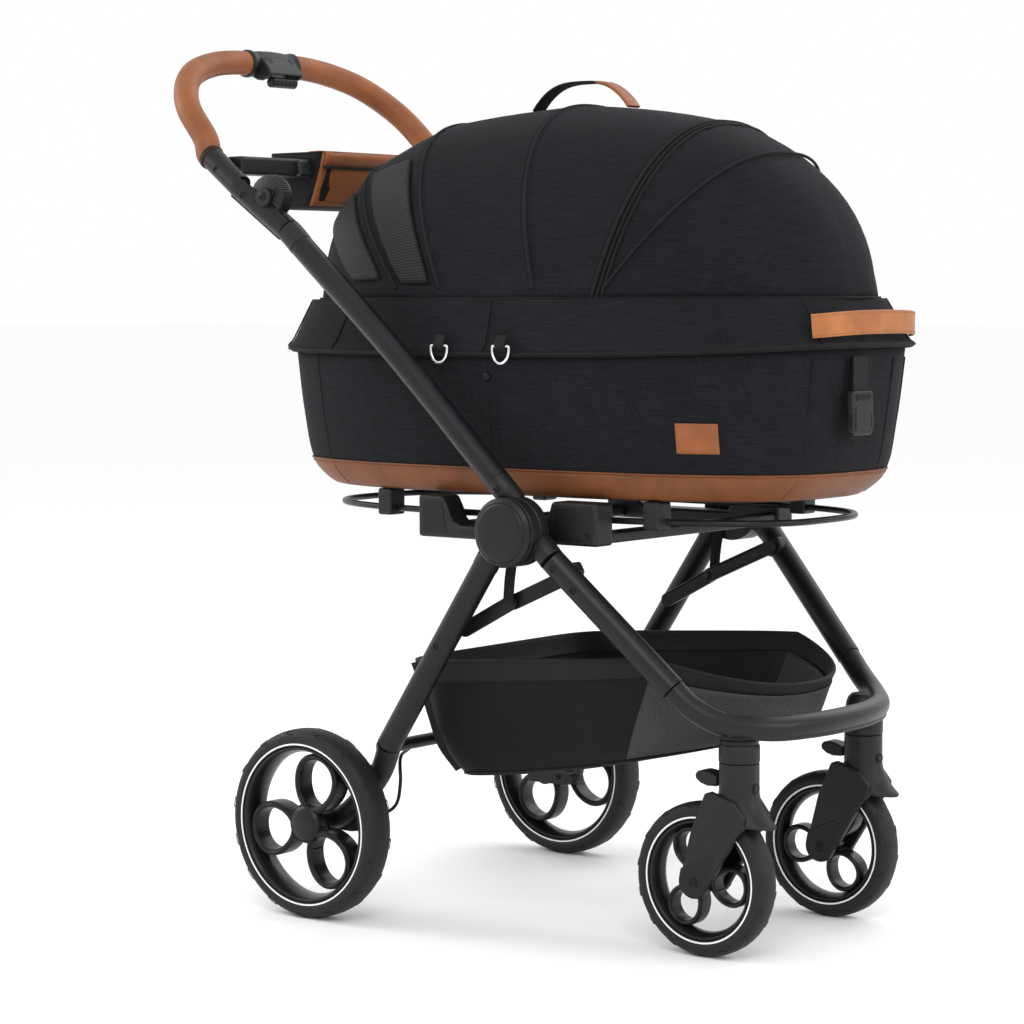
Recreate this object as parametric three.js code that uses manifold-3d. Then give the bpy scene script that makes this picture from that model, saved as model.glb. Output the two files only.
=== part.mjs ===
// A pet stroller: a folding tube frame on two fixed rear wheels and two front casters, with a
// lift-off fabric carrier, a storage basket and a push handle that turns in two ratchet hinges.
// Millimetres. +X is forward, +Y is left, +Z is up. X is measured from the rear axle while the
// pieces are made, and the finished group is moved so that its box is centred over the origin.
import * as THREE from "three";
import { mergeVertices } from "three/addons/utils/BufferGeometryUtils.js";
import Module from "manifold-3d";

const wasm = await Module();
wasm.setup();

// Clearances
const GAP = 0.4; // between pieces that touch
const PIN_GAP = 0.4; // radial, between a pin and its hole
const SIDE_GAP = 6.5; // from the carrier's widest lip to the frame tubes
const TYRE_GAP = 2; // from a tyre to the casting or fork beside it

// Carrier: an oval tub with a domed canopy
const CARRIER_LENGTH = 845;
const CARRIER_WIDTH = 426;
const CARRIER_X = 235; // its centre, ahead of the rear axle
const CARRIER_BASE_Z = 530;
const RIM_Z = 697; // where the canopy's collar sits on the tub
const SKIRT_Z = 765; // where the dome leaves the collar
const DOME_HEIGHT = 237;
const DOME_LEAN = -0.035; // the dome's centre moves back by this share of its height
const OVAL_POWER = 3;
const DOME_PLAN_POWER = 2.5;
const DOME_RISE_POWER = 2.31;
const FABRIC = 5; // wall of the padded fabric shells
const ARCH_BASE_X = 385; // foot of the zipped arch that parts the hood from the canopy
const ARCH_LEAN = 17.4; // degrees forward of upright
const HOOD_BOW_LEAN = 40.3;
const HOOD_BOW_RADIUS = 3;
const MATTRESS_THICKNESS = 34;
const RING_WIRE = 8;
const RING_Z = 505;

// Frame tubes
const TUBE_DIAMETER = 30;
const HUB_X = 300;
const HUB_Z = 492;
const HUB_RADIUS = 41;
const HUB_PLATE = 16; // thickness of each of the two hub discs
const HUB_PIN_RADIUS = 8;
const COVER_THICKNESS = 11.5;
const REAR_LEG_SLOPE = 56.3;
const REAR_LEG_SETBACK = 12;
const REAR_LEG_FOOT_Z = 221;
const CROSS_TUBE_DIAMETER = 16;
const CROSS_TUBE_X = 83;
const CROSS_TUBE_Z = 213.6;
const BAR_DIAMETER = 28;
const BAR_FRONT_X = 607;
const BAR_Z = 271;

// Wheels
const REAR_WHEEL_DIAMETER = 235;
const REAR_WHEEL_WIDTH = 42;
const REAR_TYRE_DEPTH = 20.5;
const FRONT_WHEEL_DIAMETER = 181.6;
const FRONT_WHEEL_WIDTH = 34.6;
const FRONT_TYRE_DEPTH = 20;
const STUB_AXLE_RADIUS = 6;
const FORK_AXLE_RADIUS = 5;
const CASTER_X = 552.3;
const CASTER_TRACK = 274;
const CASTER_TRAIL = 45.5;
const STEM_RADIUS = 23.5;
const STEM_TOP_Z = 231.5;
const FENDER_REACH = 47; // ahead of the swivel axis
const SOCKET_TOP_Z = 259;
const SWIVEL_PIN_RADIUS = 7;
const CHEEK = 9.5; // thickness of a fork cheek
const BUTTON_RADIUS = 5;
const BUTTON_Z = 203;

// Brace between the legs: a bar, a link and a pull strap on each side
const BRACE_BAR_FROM = [370, 446];
const BRACE_ELBOW = [277, 405];
const BRACE_LINK_TO = [207, 368];
const STRAP_FROM = [279, 484];
const BRACE_PIN_RADIUS = 4;
const BRACE_LAYER = 5; // thickness of each brace piece

// Push handle
const HINGE_X = -85;
const HINGE_Z = 891;
const HINGE_DISC_RADIUS = 27;
const HINGE_COLLAR_RADIUS = 50; // the arm's tail turns inside this radius
const ARM_SLOPE = 34.3;
const ARM_SETBACK = 17; // the arm's axis passes this far behind the hinge's axis
const HINGE_PIN_RADIUS = 5;
const HANDLE_TUBE_DIAMETER = 25;
const GRIP_WALL = 3.8;
const HOUSING_LENGTH = 92;
const HANDLE_BACK_X = -304;
const HANDLE_TOP_Z = 1079;
const POUCH_WIDTH = 170;
const POUCH_WALL = 4;

// Seat rails that carry the carrier
const RAIL_THICKNESS = 34;
const RAIL_Z = 477;
const RAIL_HEIGHT = 16;
const REAR_CUP_X = 133;
const FRONT_CUP_X = 332;
const REAR_CUP_LENGTH = 52;
const FRONT_CUP_LENGTH = 70;

// Basket
const BASKET_REAR_X = 80;
const BASKET_FRONT_X = 568;
const BASKET_SIDE_GAP = 20; // from the basket to the frame tubes' inner faces
const BASKET_WALL = 4;

// Worked out from the sizes above
const TUBE_R = TUBE_DIAMETER / 2;
const TUBE_Y = CARRIER_WIDTH / 2 + SIDE_GAP + TUBE_R;
const INNER_Y = TUBE_Y - TUBE_R;
const OUTER_Y = TUBE_Y + TUBE_R;
const HOUSING_OUTER_Y = INNER_Y + HUB_PLATE + GAP;
const KNUCKLE_OUTER_Y = HOUSING_OUTER_Y + GAP + HUB_PLATE;
const REAR_AXLE_Z = REAR_WHEEL_DIAMETER / 2;
const CASTING_OUTER_Y = TUBE_Y + 3;
const REAR_WHEEL_Y = CASTING_OUTER_Y + TYRE_GAP + REAR_WHEEL_WIDTH / 2;
const FRONT_AXLE_Z = FRONT_WHEEL_DIAMETER / 2;
const FRONT_AXLE_X = CASTER_X - CASTER_TRAIL;
const CASTER_Y = CASTER_TRACK / 2;
const BASE_LAYER_Y = INNER_Y - GAP; // outer face of the outermost brace layer
const HINGE_INNER_Y = TUBE_Y + 7; // the hinge disc ends here and the arm's cheek starts
const HANDLE_TUBE_R = HANDLE_TUBE_DIAMETER / 2;
const SIDES = [
  ["left", 1],
  ["right", -1],
];

const WHEEL_SIDES = 30; // flats round a tyre and its rim

// Finishes
const finish = (color, roughness, metalness) =>
  new THREE.MeshStandardMaterial({ color, roughness, metalness });
const coatedTube = finish(0x1b1c1f, 0.45, 0.5);
const mouldedPlastic = finish(0x17181a, 0.6, 0);
const darkPlastic = finish(0x0e0f10, 0.55, 0);
const tyreRubber = finish(0x141416, 0.8, 0);
const rimPlastic = finish(0x111214, 0.5, 0);
const steel = finish(0x2a2b2e, 0.35, 0.9);
const brightWire = finish(0xb9bcc2, 0.25, 1);
const leather = finish(0xa65c30, 0.5, 0);
const charcoalFabric = finish(0x23252b, 0.95, 0);
const meshFabric = finish(0x2b2c30, 0.9, 0);
const blackFabric = finish(0x131417, 0.95, 0);

const stroller = new THREE.Group();

// ---------------------------------------------------------------- solids

// A closed surface as a solid. Its faces are turned to point out.
function solid(geometry) {
  const bare = new THREE.BufferGeometry();
  const flat = geometry.index ? geometry.toNonIndexed() : geometry;
  bare.setAttribute("position", flat.getAttribute("position"));
  const merged = mergeVertices(bare, 1e-3);
  const vertProperties = new Float32Array(merged.attributes.position.array);
  const triVerts = new Uint32Array(merged.index.array);
  const made = new wasm.Manifold(new wasm.Mesh({ numProp: 3, vertProperties, triVerts }));
  if (made.volume() > 0) return made;
  const turned = triVerts.slice();
  for (let i = 0; i < turned.length; i += 3) {
    turned[i + 1] = triVerts[i + 2];
    turned[i + 2] = triVerts[i + 1];
  }
  return new wasm.Manifold(new wasm.Mesh({ numProp: 3, vertProperties, triVerts: turned }));
}

// A finished solid as a named mesh of the stroller.
function place(name, made, material) {
  const mesh = made.getMesh();
  const geometry = new THREE.BufferGeometry();
  const positions = new Float32Array(mesh.numVert * 3);
  for (let i = 0; i < mesh.numVert; i++) {
    positions.set(mesh.vertProperties.subarray(i * mesh.numProp, i * mesh.numProp + 3), i * 3);
  }
  geometry.setAttribute("position", new THREE.BufferAttribute(positions, 3));
  geometry.setIndex(new THREE.BufferAttribute(new Uint32Array(mesh.triVerts), 1));
  geometry.computeVertexNormals();
  const node = new THREE.Mesh(geometry, material);
  node.name = name;
  stroller.add(node);
}

const join = (...pieces) => pieces.reduce((a, b) => a.add(b));

function box(x0, x1, y0, y1, z0, z1) {
  const geometry = new THREE.BoxGeometry(x1 - x0, Math.abs(y1 - y0), z1 - z0);
  geometry.translate((x0 + x1) / 2, (y0 + y1) / 2, (z0 + z1) / 2);
  return solid(geometry);
}

// A round bar along Y.
function barY(x, z, radius, y0, y1, sides = 20) {
  const geometry = new THREE.CylinderGeometry(radius, radius, Math.abs(y1 - y0), sides);
  geometry.translate(x, (y0 + y1) / 2, z);
  return solid(geometry);
}

// A round bar along Z.
function barZ(x, y, radius, z0, z1, sides = 20) {
  const geometry = new THREE.CylinderGeometry(radius, radius, z1 - z0, sides);
  geometry.rotateX(Math.PI / 2);
  geometry.translate(x, y, (z0 + z1) / 2);
  return solid(geometry);
}

// A round bar along X.
function barX(y, z, radius, x0, x1, sides = 12) {
  const geometry = new THREE.CylinderGeometry(radius, radius, x1 - x0, sides);
  geometry.rotateZ(Math.PI / 2);
  geometry.translate((x0 + x1) / 2, y, z);
  return solid(geometry);
}

// A flat plate from an outline of [x, z] points, between two values of Y.
function plate(outline, y0, y1) {
  const shape = new THREE.Shape(outline.map(([x, z]) => new THREE.Vector2(x, z)));
  const geometry = new THREE.ExtrudeGeometry(shape, { depth: Math.abs(y1 - y0), bevelEnabled: false });
  geometry.rotateX(Math.PI / 2);
  geometry.translate(0, Math.max(y0, y1), 0);
  return solid(geometry);
}

// A round bar along a smooth curve through points of [x, y, z].
function tube(points, radius, { sides = 14, steps = 12, closed = false, straight = false } = {}) {
  const vectors = points.map((p) => new THREE.Vector3(...p));
  const curve = straight
    ? new THREE.LineCurve3(vectors[0], vectors[1])
    : new THREE.CatmullRomCurve3(vectors, closed, "centripetal");
  const circle = Array.from({ length: sides }, (_, i) => {
    const turn = (2 * Math.PI * i) / sides;
    return new THREE.Vector2(radius * Math.cos(turn), radius * Math.sin(turn));
  });
  const settings = { steps, bevelEnabled: false, extrudePath: curve };
  return solid(new THREE.ExtrudeGeometry(new THREE.Shape(circle), settings));
}

const rod = (from, to, radius, sides = 14) => tube([from, to], radius, { sides, steps: 1, straight: true });

// A skin over rings of points, closed by a fan at each end.
function loft(rings) {
  const positions = [];
  const face = (a, b, c) => positions.push(...a, ...b, ...c);
  const count = rings[0].length;
  for (let level = 0; level + 1 < rings.length; level++) {
    for (let i = 0; i < count; i++) {
      const j = (i + 1) % count;
      face(rings[level][i], rings[level][j], rings[level + 1][j]);
      face(rings[level][i], rings[level + 1][j], rings[level + 1][i]);
    }
  }
  const middle = (ring) => [0, 1, 2].map((k) => ring.reduce((sum, p) => sum + p[k], 0) / count);
  const first = rings[0];
  const last = rings[rings.length - 1];
  const bottom = middle(first);
  const top = middle(last);
  for (let i = 0; i < count; i++) {
    const j = (i + 1) % count;
    face(bottom, first[j], first[i]);
    face(top, last[i], last[j]);
  }
  const geometry = new THREE.BufferGeometry();
  geometry.setAttribute("position", new THREE.Float32BufferAttribute(positions, 3));
  return solid(geometry);
}

// A rounded-oval ring of points at a height.
function oval(centre, halfLength, halfWidth, z, power = OVAL_POWER, count = 30) {
  return Array.from({ length: count }, (_, i) => {
    const turn = (2 * Math.PI * i) / count;
    const c = Math.cos(turn);
    const s = Math.sin(turn);
    const x = centre + Math.sign(c) * halfLength * Math.abs(c) ** (2 / power);
    return [x, Math.sign(s) * halfWidth * Math.abs(s) ** (2 / power), z];
  });
}

// The outline of a flat eye-ended link between two [x, z] points.
function linkOutline([ax, az], [bx, bz], endA, endB, corners = 8) {
  const along = Math.atan2(bz - az, bx - ax);
  const half = (x, z, radius, start) =>
    Array.from({ length: corners + 1 }, (_, i) => {
      const turn = start + (Math.PI * i) / corners;
      return [x + radius * Math.cos(turn), z + radius * Math.sin(turn)];
    });
  return [...half(ax, az, endA, along + Math.PI / 2), ...half(bx, bz, endB, along - Math.PI / 2)];
}

// ---------------------------------------------------------------- wheels

// A tyre about the Y axis, seated on a rim of the given radius.
function tyre(radius, width, seat) {
  const half = width / 2;
  const side = [
    [seat, half - 2],
    [seat + (radius - seat) * 0.6, half],
    [radius, half * 0.4],
  ];
  const profile = [...side, ...side.map(([r, y]) => [r, -y]).reverse(), side[0]];
  const points = profile.map(([r, y]) => new THREE.Vector2(r, y));
  return solid(new THREE.LatheGeometry(points, WHEEL_SIDES));
}

// A teardrop outline that grows from a small end near the hub to a round end at the rim.
function teardrop(nearCentre, nearRadius, farCentre, farRadius) {
  const tilt = Math.asin((farRadius - nearRadius) / (farCentre - nearCentre));
  const arc = (centre, radius, from, to, corners) =>
    Array.from({ length: corners + 1 }, (_, i) => {
      const turn = from + ((to - from) * i) / corners;
      return new THREE.Vector2(centre + radius * Math.cos(turn), radius * Math.sin(turn));
    });
  const edge = Math.PI / 2 + tilt;
  const far = arc(farCentre, farRadius, -edge, edge, 6);
  return [...far, ...arc(nearCentre, nearRadius, edge, 2 * Math.PI - edge, 2)];
}

// A rim about the Y axis: a barrel, a hub with a blind bore and three hollow teardrop spokes.
function rim(radius, width, hubRadius, hubInner, hubOuter, boreRadius, through, turnDegrees) {
  const barrelWall = 7;
  const half = width / 2 - 2.5;
  const inside = radius - barrelWall;
  const profile = [
    [inside, -half * 0.5],
    [radius, -half],
    [radius, half],
    [inside, half * 0.5],
    [inside, -half * 0.5],
  ];
  const section = profile.map(([r, y]) => new THREE.Vector2(r, y));
  const barrel = solid(new THREE.LatheGeometry(section, WHEEL_SIDES));
  let made = barrel.add(barY(0, 0, hubRadius, hubInner, hubOuter, 20));
  const spokeWall = 6;
  const farRadius = (inside - hubRadius) * 0.4;
  const farCentre = inside + 1 - farRadius;
  const spokeHalf = width * 0.27;
  for (let spoke = 0; spoke < 3; spoke++) {
    const shape = new THREE.Shape(teardrop(hubRadius * 0.6, hubRadius * 0.5, farCentre, farRadius));
    const holeNear = hubRadius + 5;
    shape.holes.push(new THREE.Path(teardrop(holeNear, 2.5, farCentre, farRadius - spokeWall)));
    const geometry = new THREE.ExtrudeGeometry(shape, { depth: 2 * spokeHalf, bevelEnabled: false });
    geometry.rotateX(Math.PI / 2);
    geometry.translate(0, spokeHalf, 0);
    geometry.rotateY(-THREE.MathUtils.degToRad(turnDegrees + 120 * spoke));
    made = made.add(solid(geometry));
  }
  const outward = Math.sign(hubOuter - hubInner);
  const boreEnd = through ? hubOuter + outward : hubOuter - outward * 4;
  return made.subtract(barY(0, 0, boreRadius, hubInner - outward, boreEnd, 16));
}

const rearSeat = REAR_WHEEL_DIAMETER / 2 - REAR_TYRE_DEPTH;
const frontSeat = FRONT_WHEEL_DIAMETER / 2 - FRONT_TYRE_DEPTH;
const REAR_HUB_RADIUS = 19;
const FRONT_HUB_RADIUS = 14;

function wheels() {
  for (const [side, s] of SIDES) {
    const rearTyre = tyre(REAR_WHEEL_DIAMETER / 2, REAR_WHEEL_WIDTH, rearSeat);
    place(`rear_tyre_${side}`, rearTyre.translate([0, s * REAR_WHEEL_Y, REAR_AXLE_Z]), tyreRubber);
    const half = REAR_WHEEL_WIDTH / 2;
    const bore = STUB_AXLE_RADIUS + PIN_GAP;
    const outer = s * (half - 4);
    const inner = -s * (half - 1);
    const rear = rim(rearSeat - GAP, REAR_WHEEL_WIDTH, REAR_HUB_RADIUS, inner, outer, bore, false, 72);
    place(`rear_rim_${side}`, rear.translate([0, s * REAR_WHEEL_Y, REAR_AXLE_Z]), rimPlastic);

    const at = [FRONT_AXLE_X, s * CASTER_Y, FRONT_AXLE_Z];
    const frontTyre = tyre(FRONT_WHEEL_DIAMETER / 2, FRONT_WHEEL_WIDTH, frontSeat);
    place(`front_tyre_${side}`, frontTyre.translate(at), tyreRubber);
    const reach = FRONT_WHEEL_WIDTH / 2;
    const frontBore = FORK_AXLE_RADIUS + PIN_GAP;
    const seat = frontSeat - GAP;
    const front = rim(seat, FRONT_WHEEL_WIDTH, FRONT_HUB_RADIUS, -reach, reach, frontBore, true, 114);
    place(`front_rim_${side}`, front.translate(at), rimPlastic);
  }
}

// ---------------------------------------------------------------- casters

// The fork's cheek and crown outline, with X measured from the swivel axis.
function forkOutline() {
  const end = 20;
  const around = [190, 220, 250, 280, 310].map((degrees) => {
    const turn = THREE.MathUtils.degToRad(degrees);
    return [-CASTER_TRAIL + end * Math.cos(turn), FRONT_AXLE_Z + end * Math.sin(turn)];
  });
  const crownZ = STEM_TOP_Z - 44;
  return [
    ...around,
    [-14, FRONT_AXLE_Z + 14],
    [12, FRONT_AXLE_Z + 56],
    [26, FRONT_AXLE_Z + 72],
    [41, FRONT_AXLE_Z + 75],
    [FENDER_REACH, FRONT_AXLE_Z + 82],
    [38, crownZ - 3],
    [STEM_RADIUS - 1, crownZ],
    [1 - STEM_RADIUS, crownZ + 12],
    [-30, crownZ + 9],
    [-38, crownZ - 12],
    [-48, crownZ - 34],
  ];
}

function casters() {
  const slot = FRONT_WHEEL_WIDTH / 2 + TYRE_GAP;
  const cheekOuter = slot + CHEEK;
  for (const [side, s] of SIDES) {
    const y = s * CASTER_Y;
    const outline = forkOutline().map(([x, z]) => [CASTER_X + x, z]);
    const roomRadius = FRONT_WHEEL_DIAMETER / 2 + 5;
    const wheelRoom = barY(FRONT_AXLE_X, FRONT_AXLE_Z, roomRadius, y - slot, y + slot, 32);
    const fender = barZ(CASTER_X - 12, y, FENDER_REACH + 12, 0, STEM_TOP_Z, 36);
    const buttonBore = barX(y, BUTTON_Z, BUTTON_RADIUS + PIN_GAP, CASTER_X + 15, CASTER_X + 35);
    const fork = join(
      plate(outline, y - cheekOuter, y + cheekOuter).intersect(fender).subtract(wheelRoom),
      barZ(CASTER_X, y, STEM_RADIUS, STEM_TOP_Z - 50, STEM_TOP_Z).subtract(wheelRoom),
      barZ(CASTER_X, y, SWIVEL_PIN_RADIUS, STEM_TOP_Z - 2, SOCKET_TOP_Z - 10, 16),
      barY(FRONT_AXLE_X, FRONT_AXLE_Z, FORK_AXLE_RADIUS, y - slot - 2, y + slot + 2, 16),
    ).subtract(buttonBore);
    place(`front_fork_${side}`, fork, mouldedPlastic);

    const button = barX(y, BUTTON_Z, BUTTON_RADIUS, CASTER_X + 18.5, CASTER_X + STEM_RADIUS + 1.2);
    place(`wheel_release_${side}`, button, darkPlastic);

    const tabZ = STEM_TOP_Z - 30;
    const tab = [
      [-STEM_RADIUS - GAP, tabZ + 1],
      [-STEM_RADIUS - GAP, tabZ + 13],
      [-34, tabZ + 17],
      [-48, tabZ + 18],
      [-55, tabZ + 14],
      [-54, tabZ + 7],
      [-38, tabZ],
    ].map(([x, z]) => [CASTER_X + x, z]);
    place(`swivel_lock_${side}`, plate(tab, y - 11, y + 11), mouldedPlastic);

    const socket = join(
      barZ(CASTER_X, y, STEM_RADIUS + 0.4, STEM_TOP_Z + 0.7, SOCKET_TOP_Z - 6),
      barZ(CASTER_X, y, STEM_RADIUS - 1.5, SOCKET_TOP_Z - 7, SOCKET_TOP_Z),
    ).subtract(barZ(CASTER_X, y, SWIVEL_PIN_RADIUS + PIN_GAP, STEM_TOP_Z - 5, SOCKET_TOP_Z - 8, 16));
    place(`caster_socket_${side}`, socket, darkPlastic);
  }
}

// ---------------------------------------------------------------- frame

const onArm = (along, offset = 0) => {
  const slope = THREE.MathUtils.degToRad(ARM_SLOPE);
  const back = offset - ARM_SETBACK;
  return [
    HINGE_X + along * Math.cos(slope) + back * Math.sin(slope),
    HINGE_Z - along * Math.sin(slope) + back * Math.cos(slope),
  ];
};
const collarStart = onArm(HINGE_COLLAR_RADIUS);
const collarEnd = [collarStart[0] + 20, collarStart[1] - 18];
const upperTubeFoot = [HUB_X - 24, HUB_Z + 59];
const legCollarTop = [HUB_X + 24, HUB_Z];
const legSeam = [HUB_X + 54, HUB_Z - 30];

function rearLegPoint(distance) {
  const slope = THREE.MathUtils.degToRad(REAR_LEG_SLOPE);
  return [
    HUB_X - distance * Math.cos(slope) - REAR_LEG_SETBACK * Math.sin(slope),
    HUB_Z - distance * Math.sin(slope) + REAR_LEG_SETBACK * Math.cos(slope),
  ];
}

function upperTubes() {
  for (const [side, s] of SIDES) {
    const [ax, az] = collarEnd;
    const [bx, bz] = upperTubeFoot;
    const length = Math.hypot(bx - ax, bz - az);
    const bow = 4.5;
    const middleX = (ax + bx) / 2 + (bow * (az - bz)) / length;
    const middle = [middleX, s * TUBE_Y, (az + bz) / 2 + (bow * (bx - ax)) / length];
    const points = [[ax + GAP, s * TUBE_Y, az - GAP], middle, [bx, s * TUBE_Y, bz]];
    place(`upper_tube_${side}`, tube(points, TUBE_R, { sides: 16, steps: 6 }), coatedTube);
  }
}

// The hub's inner disc, with the plastic collars of the upper tube and the front leg.
function hubs() {
  for (const [side, s] of SIDES) {
    const room = barY(HUB_X, HUB_Z, HUB_RADIUS + 1, s * HOUSING_OUTER_Y, s * (OUTER_Y + 5), 32);
    const [tx, tz] = upperTubeFoot;
    const upperPath = [
      [tx + GAP, s * TUBE_Y, tz - GAP],
      [tx + 5, s * TUBE_Y, tz - 5],
      [HUB_X, s * TUBE_Y, HUB_Z + 30],
    ];
    const upper = tube(upperPath, TUBE_R, { sides: 16, steps: 4 });
    const top = [legCollarTop[0], s * (TUBE_Y + 4), legCollarTop[1]];
    const leg = rod(top, [legSeam[0], s * (TUBE_Y - 2), legSeam[1]], TUBE_R);
    const housing = join(
      barY(HUB_X, HUB_Z, HUB_RADIUS, s * (INNER_Y - GAP + 0.5), s * HOUSING_OUTER_Y, 32),
      upper.subtract(room),
      leg.subtract(room),
      barY(HUB_X, HUB_Z, HUB_PIN_RADIUS, s * INNER_Y, s * (KNUCKLE_OUTER_Y - 0.2), 16),
    );
    place(`hub_housing_${side}`, housing, mouldedPlastic);

    const face = KNUCKLE_OUTER_Y + GAP;
    const rounded = [
      [0, face],
      [HUB_RADIUS, face],
      [HUB_RADIUS, face + 5],
      [HUB_RADIUS - 4, face + COVER_THICKNESS],
      [0, face + COVER_THICKNESS],
    ].map(([r, y]) => new THREE.Vector2(r, s * y));
    const cover = solid(new THREE.LatheGeometry(rounded, 32)).translate([HUB_X, 0, HUB_Z]);
    place(`hub_cover_${side}`, cover, darkPlastic);
  }
}

function frontLegs() {
  for (const [side, s] of SIDES) {
    const start = [legSeam[0] + 0.8, s * (TUBE_Y - 2.4), legSeam[1] - 0.8];
    const end = [497, s * (CASTER_Y + 55), 318];
    const [px, pz] = BRACE_BAR_FROM;
    const bossEnd = BASE_LAYER_Y - 2 * (BRACE_LAYER + GAP) + GAP;
    const pinEnd = bossEnd - BRACE_LAYER;
    const boss = barY(px, pz, 9, s * (TUBE_Y - 8), s * bossEnd, 14);
    const pin = barY(px, pz, BRACE_PIN_RADIUS, s * (TUBE_Y - 8), s * pinEnd, 12);
    place(`front_leg_${side}`, join(rod(start, end, TUBE_R, 16), boss, pin), coatedTube);
  }
}

// The U-shaped bar that joins the front legs, with the two necks that hold the casters.
function frontBar() {
  const half = [
    [498, CASTER_Y + 54.7, 317],
    [519, CASTER_Y + 47, 297],
    [549, CASTER_Y + 28, 279],
    [582, CASTER_Y - 15, BAR_Z + 1],
    [601, CASTER_Y - 72, BAR_Z],
    [BAR_FRONT_X, 0, BAR_Z],
  ];
  const mirrored = half.slice(0, -1).map(([x, y, z]) => [x, -y, z]).reverse();
  const neck = STEM_RADIUS - 1.5;
  const necks = SIDES.map(([, s]) => barZ(CASTER_X, s * CASTER_Y, neck, SOCKET_TOP_Z + GAP, BAR_Z + 5));
  const bar = tube([...half, ...mirrored], BAR_DIAMETER / 2, { sides: 12, steps: 20 });
  place("front_bar", join(bar, ...necks), coatedTube);
}

// Seat rails with a raised cup at each end, and the two beams between them.
function seatFrame() {
  const outer = INNER_Y - 9;
  const inner = outer - RAIL_THICKNESS;
  const cupTop = CARRIER_BASE_Z - 2.5;
  const railTop = RAIL_Z + RAIL_HEIGHT;
  const frontEnd = FRONT_CUP_X + FRONT_CUP_LENGTH;
  const outline = [
    [REAR_CUP_X, RAIL_Z],
    [frontEnd, RAIL_Z],
    [frontEnd, cupTop],
    [FRONT_CUP_X + 4, cupTop],
    [FRONT_CUP_X - 8, railTop],
    [REAR_CUP_X + REAR_CUP_LENGTH + 14, railTop],
    [REAR_CUP_X + REAR_CUP_LENGTH, railTop + 6],
    [REAR_CUP_X + REAR_CUP_LENGTH - 14, cupTop],
    [REAR_CUP_X, cupTop],
  ];
  const rails = SIDES.map(([, s]) => plate(outline, s * inner, s * outer));
  const lugs = SIDES.map(([, s]) =>
    box(HUB_X - 11, HUB_X + 20, s * (outer - 5), s * (INNER_Y - GAP), RAIL_Z, HUB_Z + 20),
  );
  const beams = [REAR_CUP_X + 4, frontEnd - 30].map((x) =>
    box(x, x + 26, -inner - 1, inner + 1, RAIL_Z + 2, railTop - 1),
  );
  place("seat_frame", join(...rails, ...lugs, ...beams), mouldedPlastic);
}

// ---------------------------------------------------------------- rear legs

function rearLegs() {
  const footDistance = (HUB_Z - REAR_LEG_FOOT_Z) / Math.sin(THREE.MathUtils.degToRad(REAR_LEG_SLOPE));
  const foot = rearLegPoint(footDistance + 8);
  for (const [side, s] of SIDES) {
    const knuckleInner = HOUSING_OUTER_Y + GAP;
    const top = rearLegPoint(16);
    const room = barY(HUB_X, HUB_Z, HUB_RADIUS + 1, s * (INNER_Y - 5), s * knuckleInner, 32);
    const link = BRACE_LINK_TO;
    const linkInner = BASE_LAYER_Y - 2 * (BRACE_LAYER + GAP) + 0.6;
    const leg = join(
      barY(HUB_X, HUB_Z, HUB_RADIUS, s * knuckleInner, s * KNUCKLE_OUTER_Y, 32),
      rod([top[0], s * TUBE_Y, top[1]], [foot[0], s * TUBE_Y, foot[1]], TUBE_R, 16).subtract(room),
      barY(link[0], link[1], 8, s * TUBE_Y, s * (BASE_LAYER_Y - BRACE_LAYER), 14),
      barY(link[0], link[1], BRACE_PIN_RADIUS, s * TUBE_Y, s * linkInner, 12),
    );
    const boreRadius = HUB_PIN_RADIUS + PIN_GAP;
    const bore = barY(HUB_X, HUB_Z, boreRadius, s * (INNER_Y - 5), s * (KNUCKLE_OUTER_Y + 5), 16);
    place(`rear_leg_${side}`, leg.subtract(bore), coatedTube);
  }
}

// The casting at each leg's foot, which curves down to the stub axle.
function rearCastings() {
  const footDistance = (HUB_Z - REAR_LEG_FOOT_Z) / Math.sin(THREE.MathUtils.degToRad(REAR_LEG_SLOPE));
  const start = rearLegPoint(footDistance + 8 + 3.2);
  const castingR = 13;
  const castingY = CASTING_OUTER_Y - castingR;
  for (const [side, s] of SIDES) {
    const path = [
      [start[0], s * (TUBE_Y - 1), start[1]],
      [start[0] - 9, s * (castingY + 5), start[1] - 15],
      [start[0] - 23, s * castingY, start[1] - 38],
      [start[0] * 0.5, s * castingY, REAR_AXLE_Z + (start[1] - REAR_AXLE_Z) * 0.3],
      [start[0] * 0.2, s * castingY, REAR_AXLE_Z + 5],
      [-2, s * castingY, REAR_AXLE_Z],
    ];
    const axleEnd = REAR_WHEEL_Y + REAR_WHEEL_WIDTH / 2 - 10;
    const casting = join(
      tube(path, castingR, { steps: 10 }),
      barY(0, REAR_AXLE_Z, 17, s * (castingY - castingR), s * CASTING_OUTER_Y, 20),
      box(-24, 58, s * (castingY - castingR - 6), s * castingY, REAR_AXLE_Z - 14, REAR_AXLE_Z + 6),
      barY(0, REAR_AXLE_Z, STUB_AXLE_RADIUS, s * (CASTING_OUTER_Y - 2), s * axleEnd, 16),
    );
    place(`rear_casting_${side}`, casting, mouldedPlastic);
  }
}

function rearCrossTube() {
  const reach = INNER_Y - GAP;
  const body = barY(CROSS_TUBE_X, CROSS_TUBE_Z, CROSS_TUBE_DIAMETER / 2, -reach, reach, 14);
  place("rear_cross_tube", body, coatedTube);
}

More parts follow.
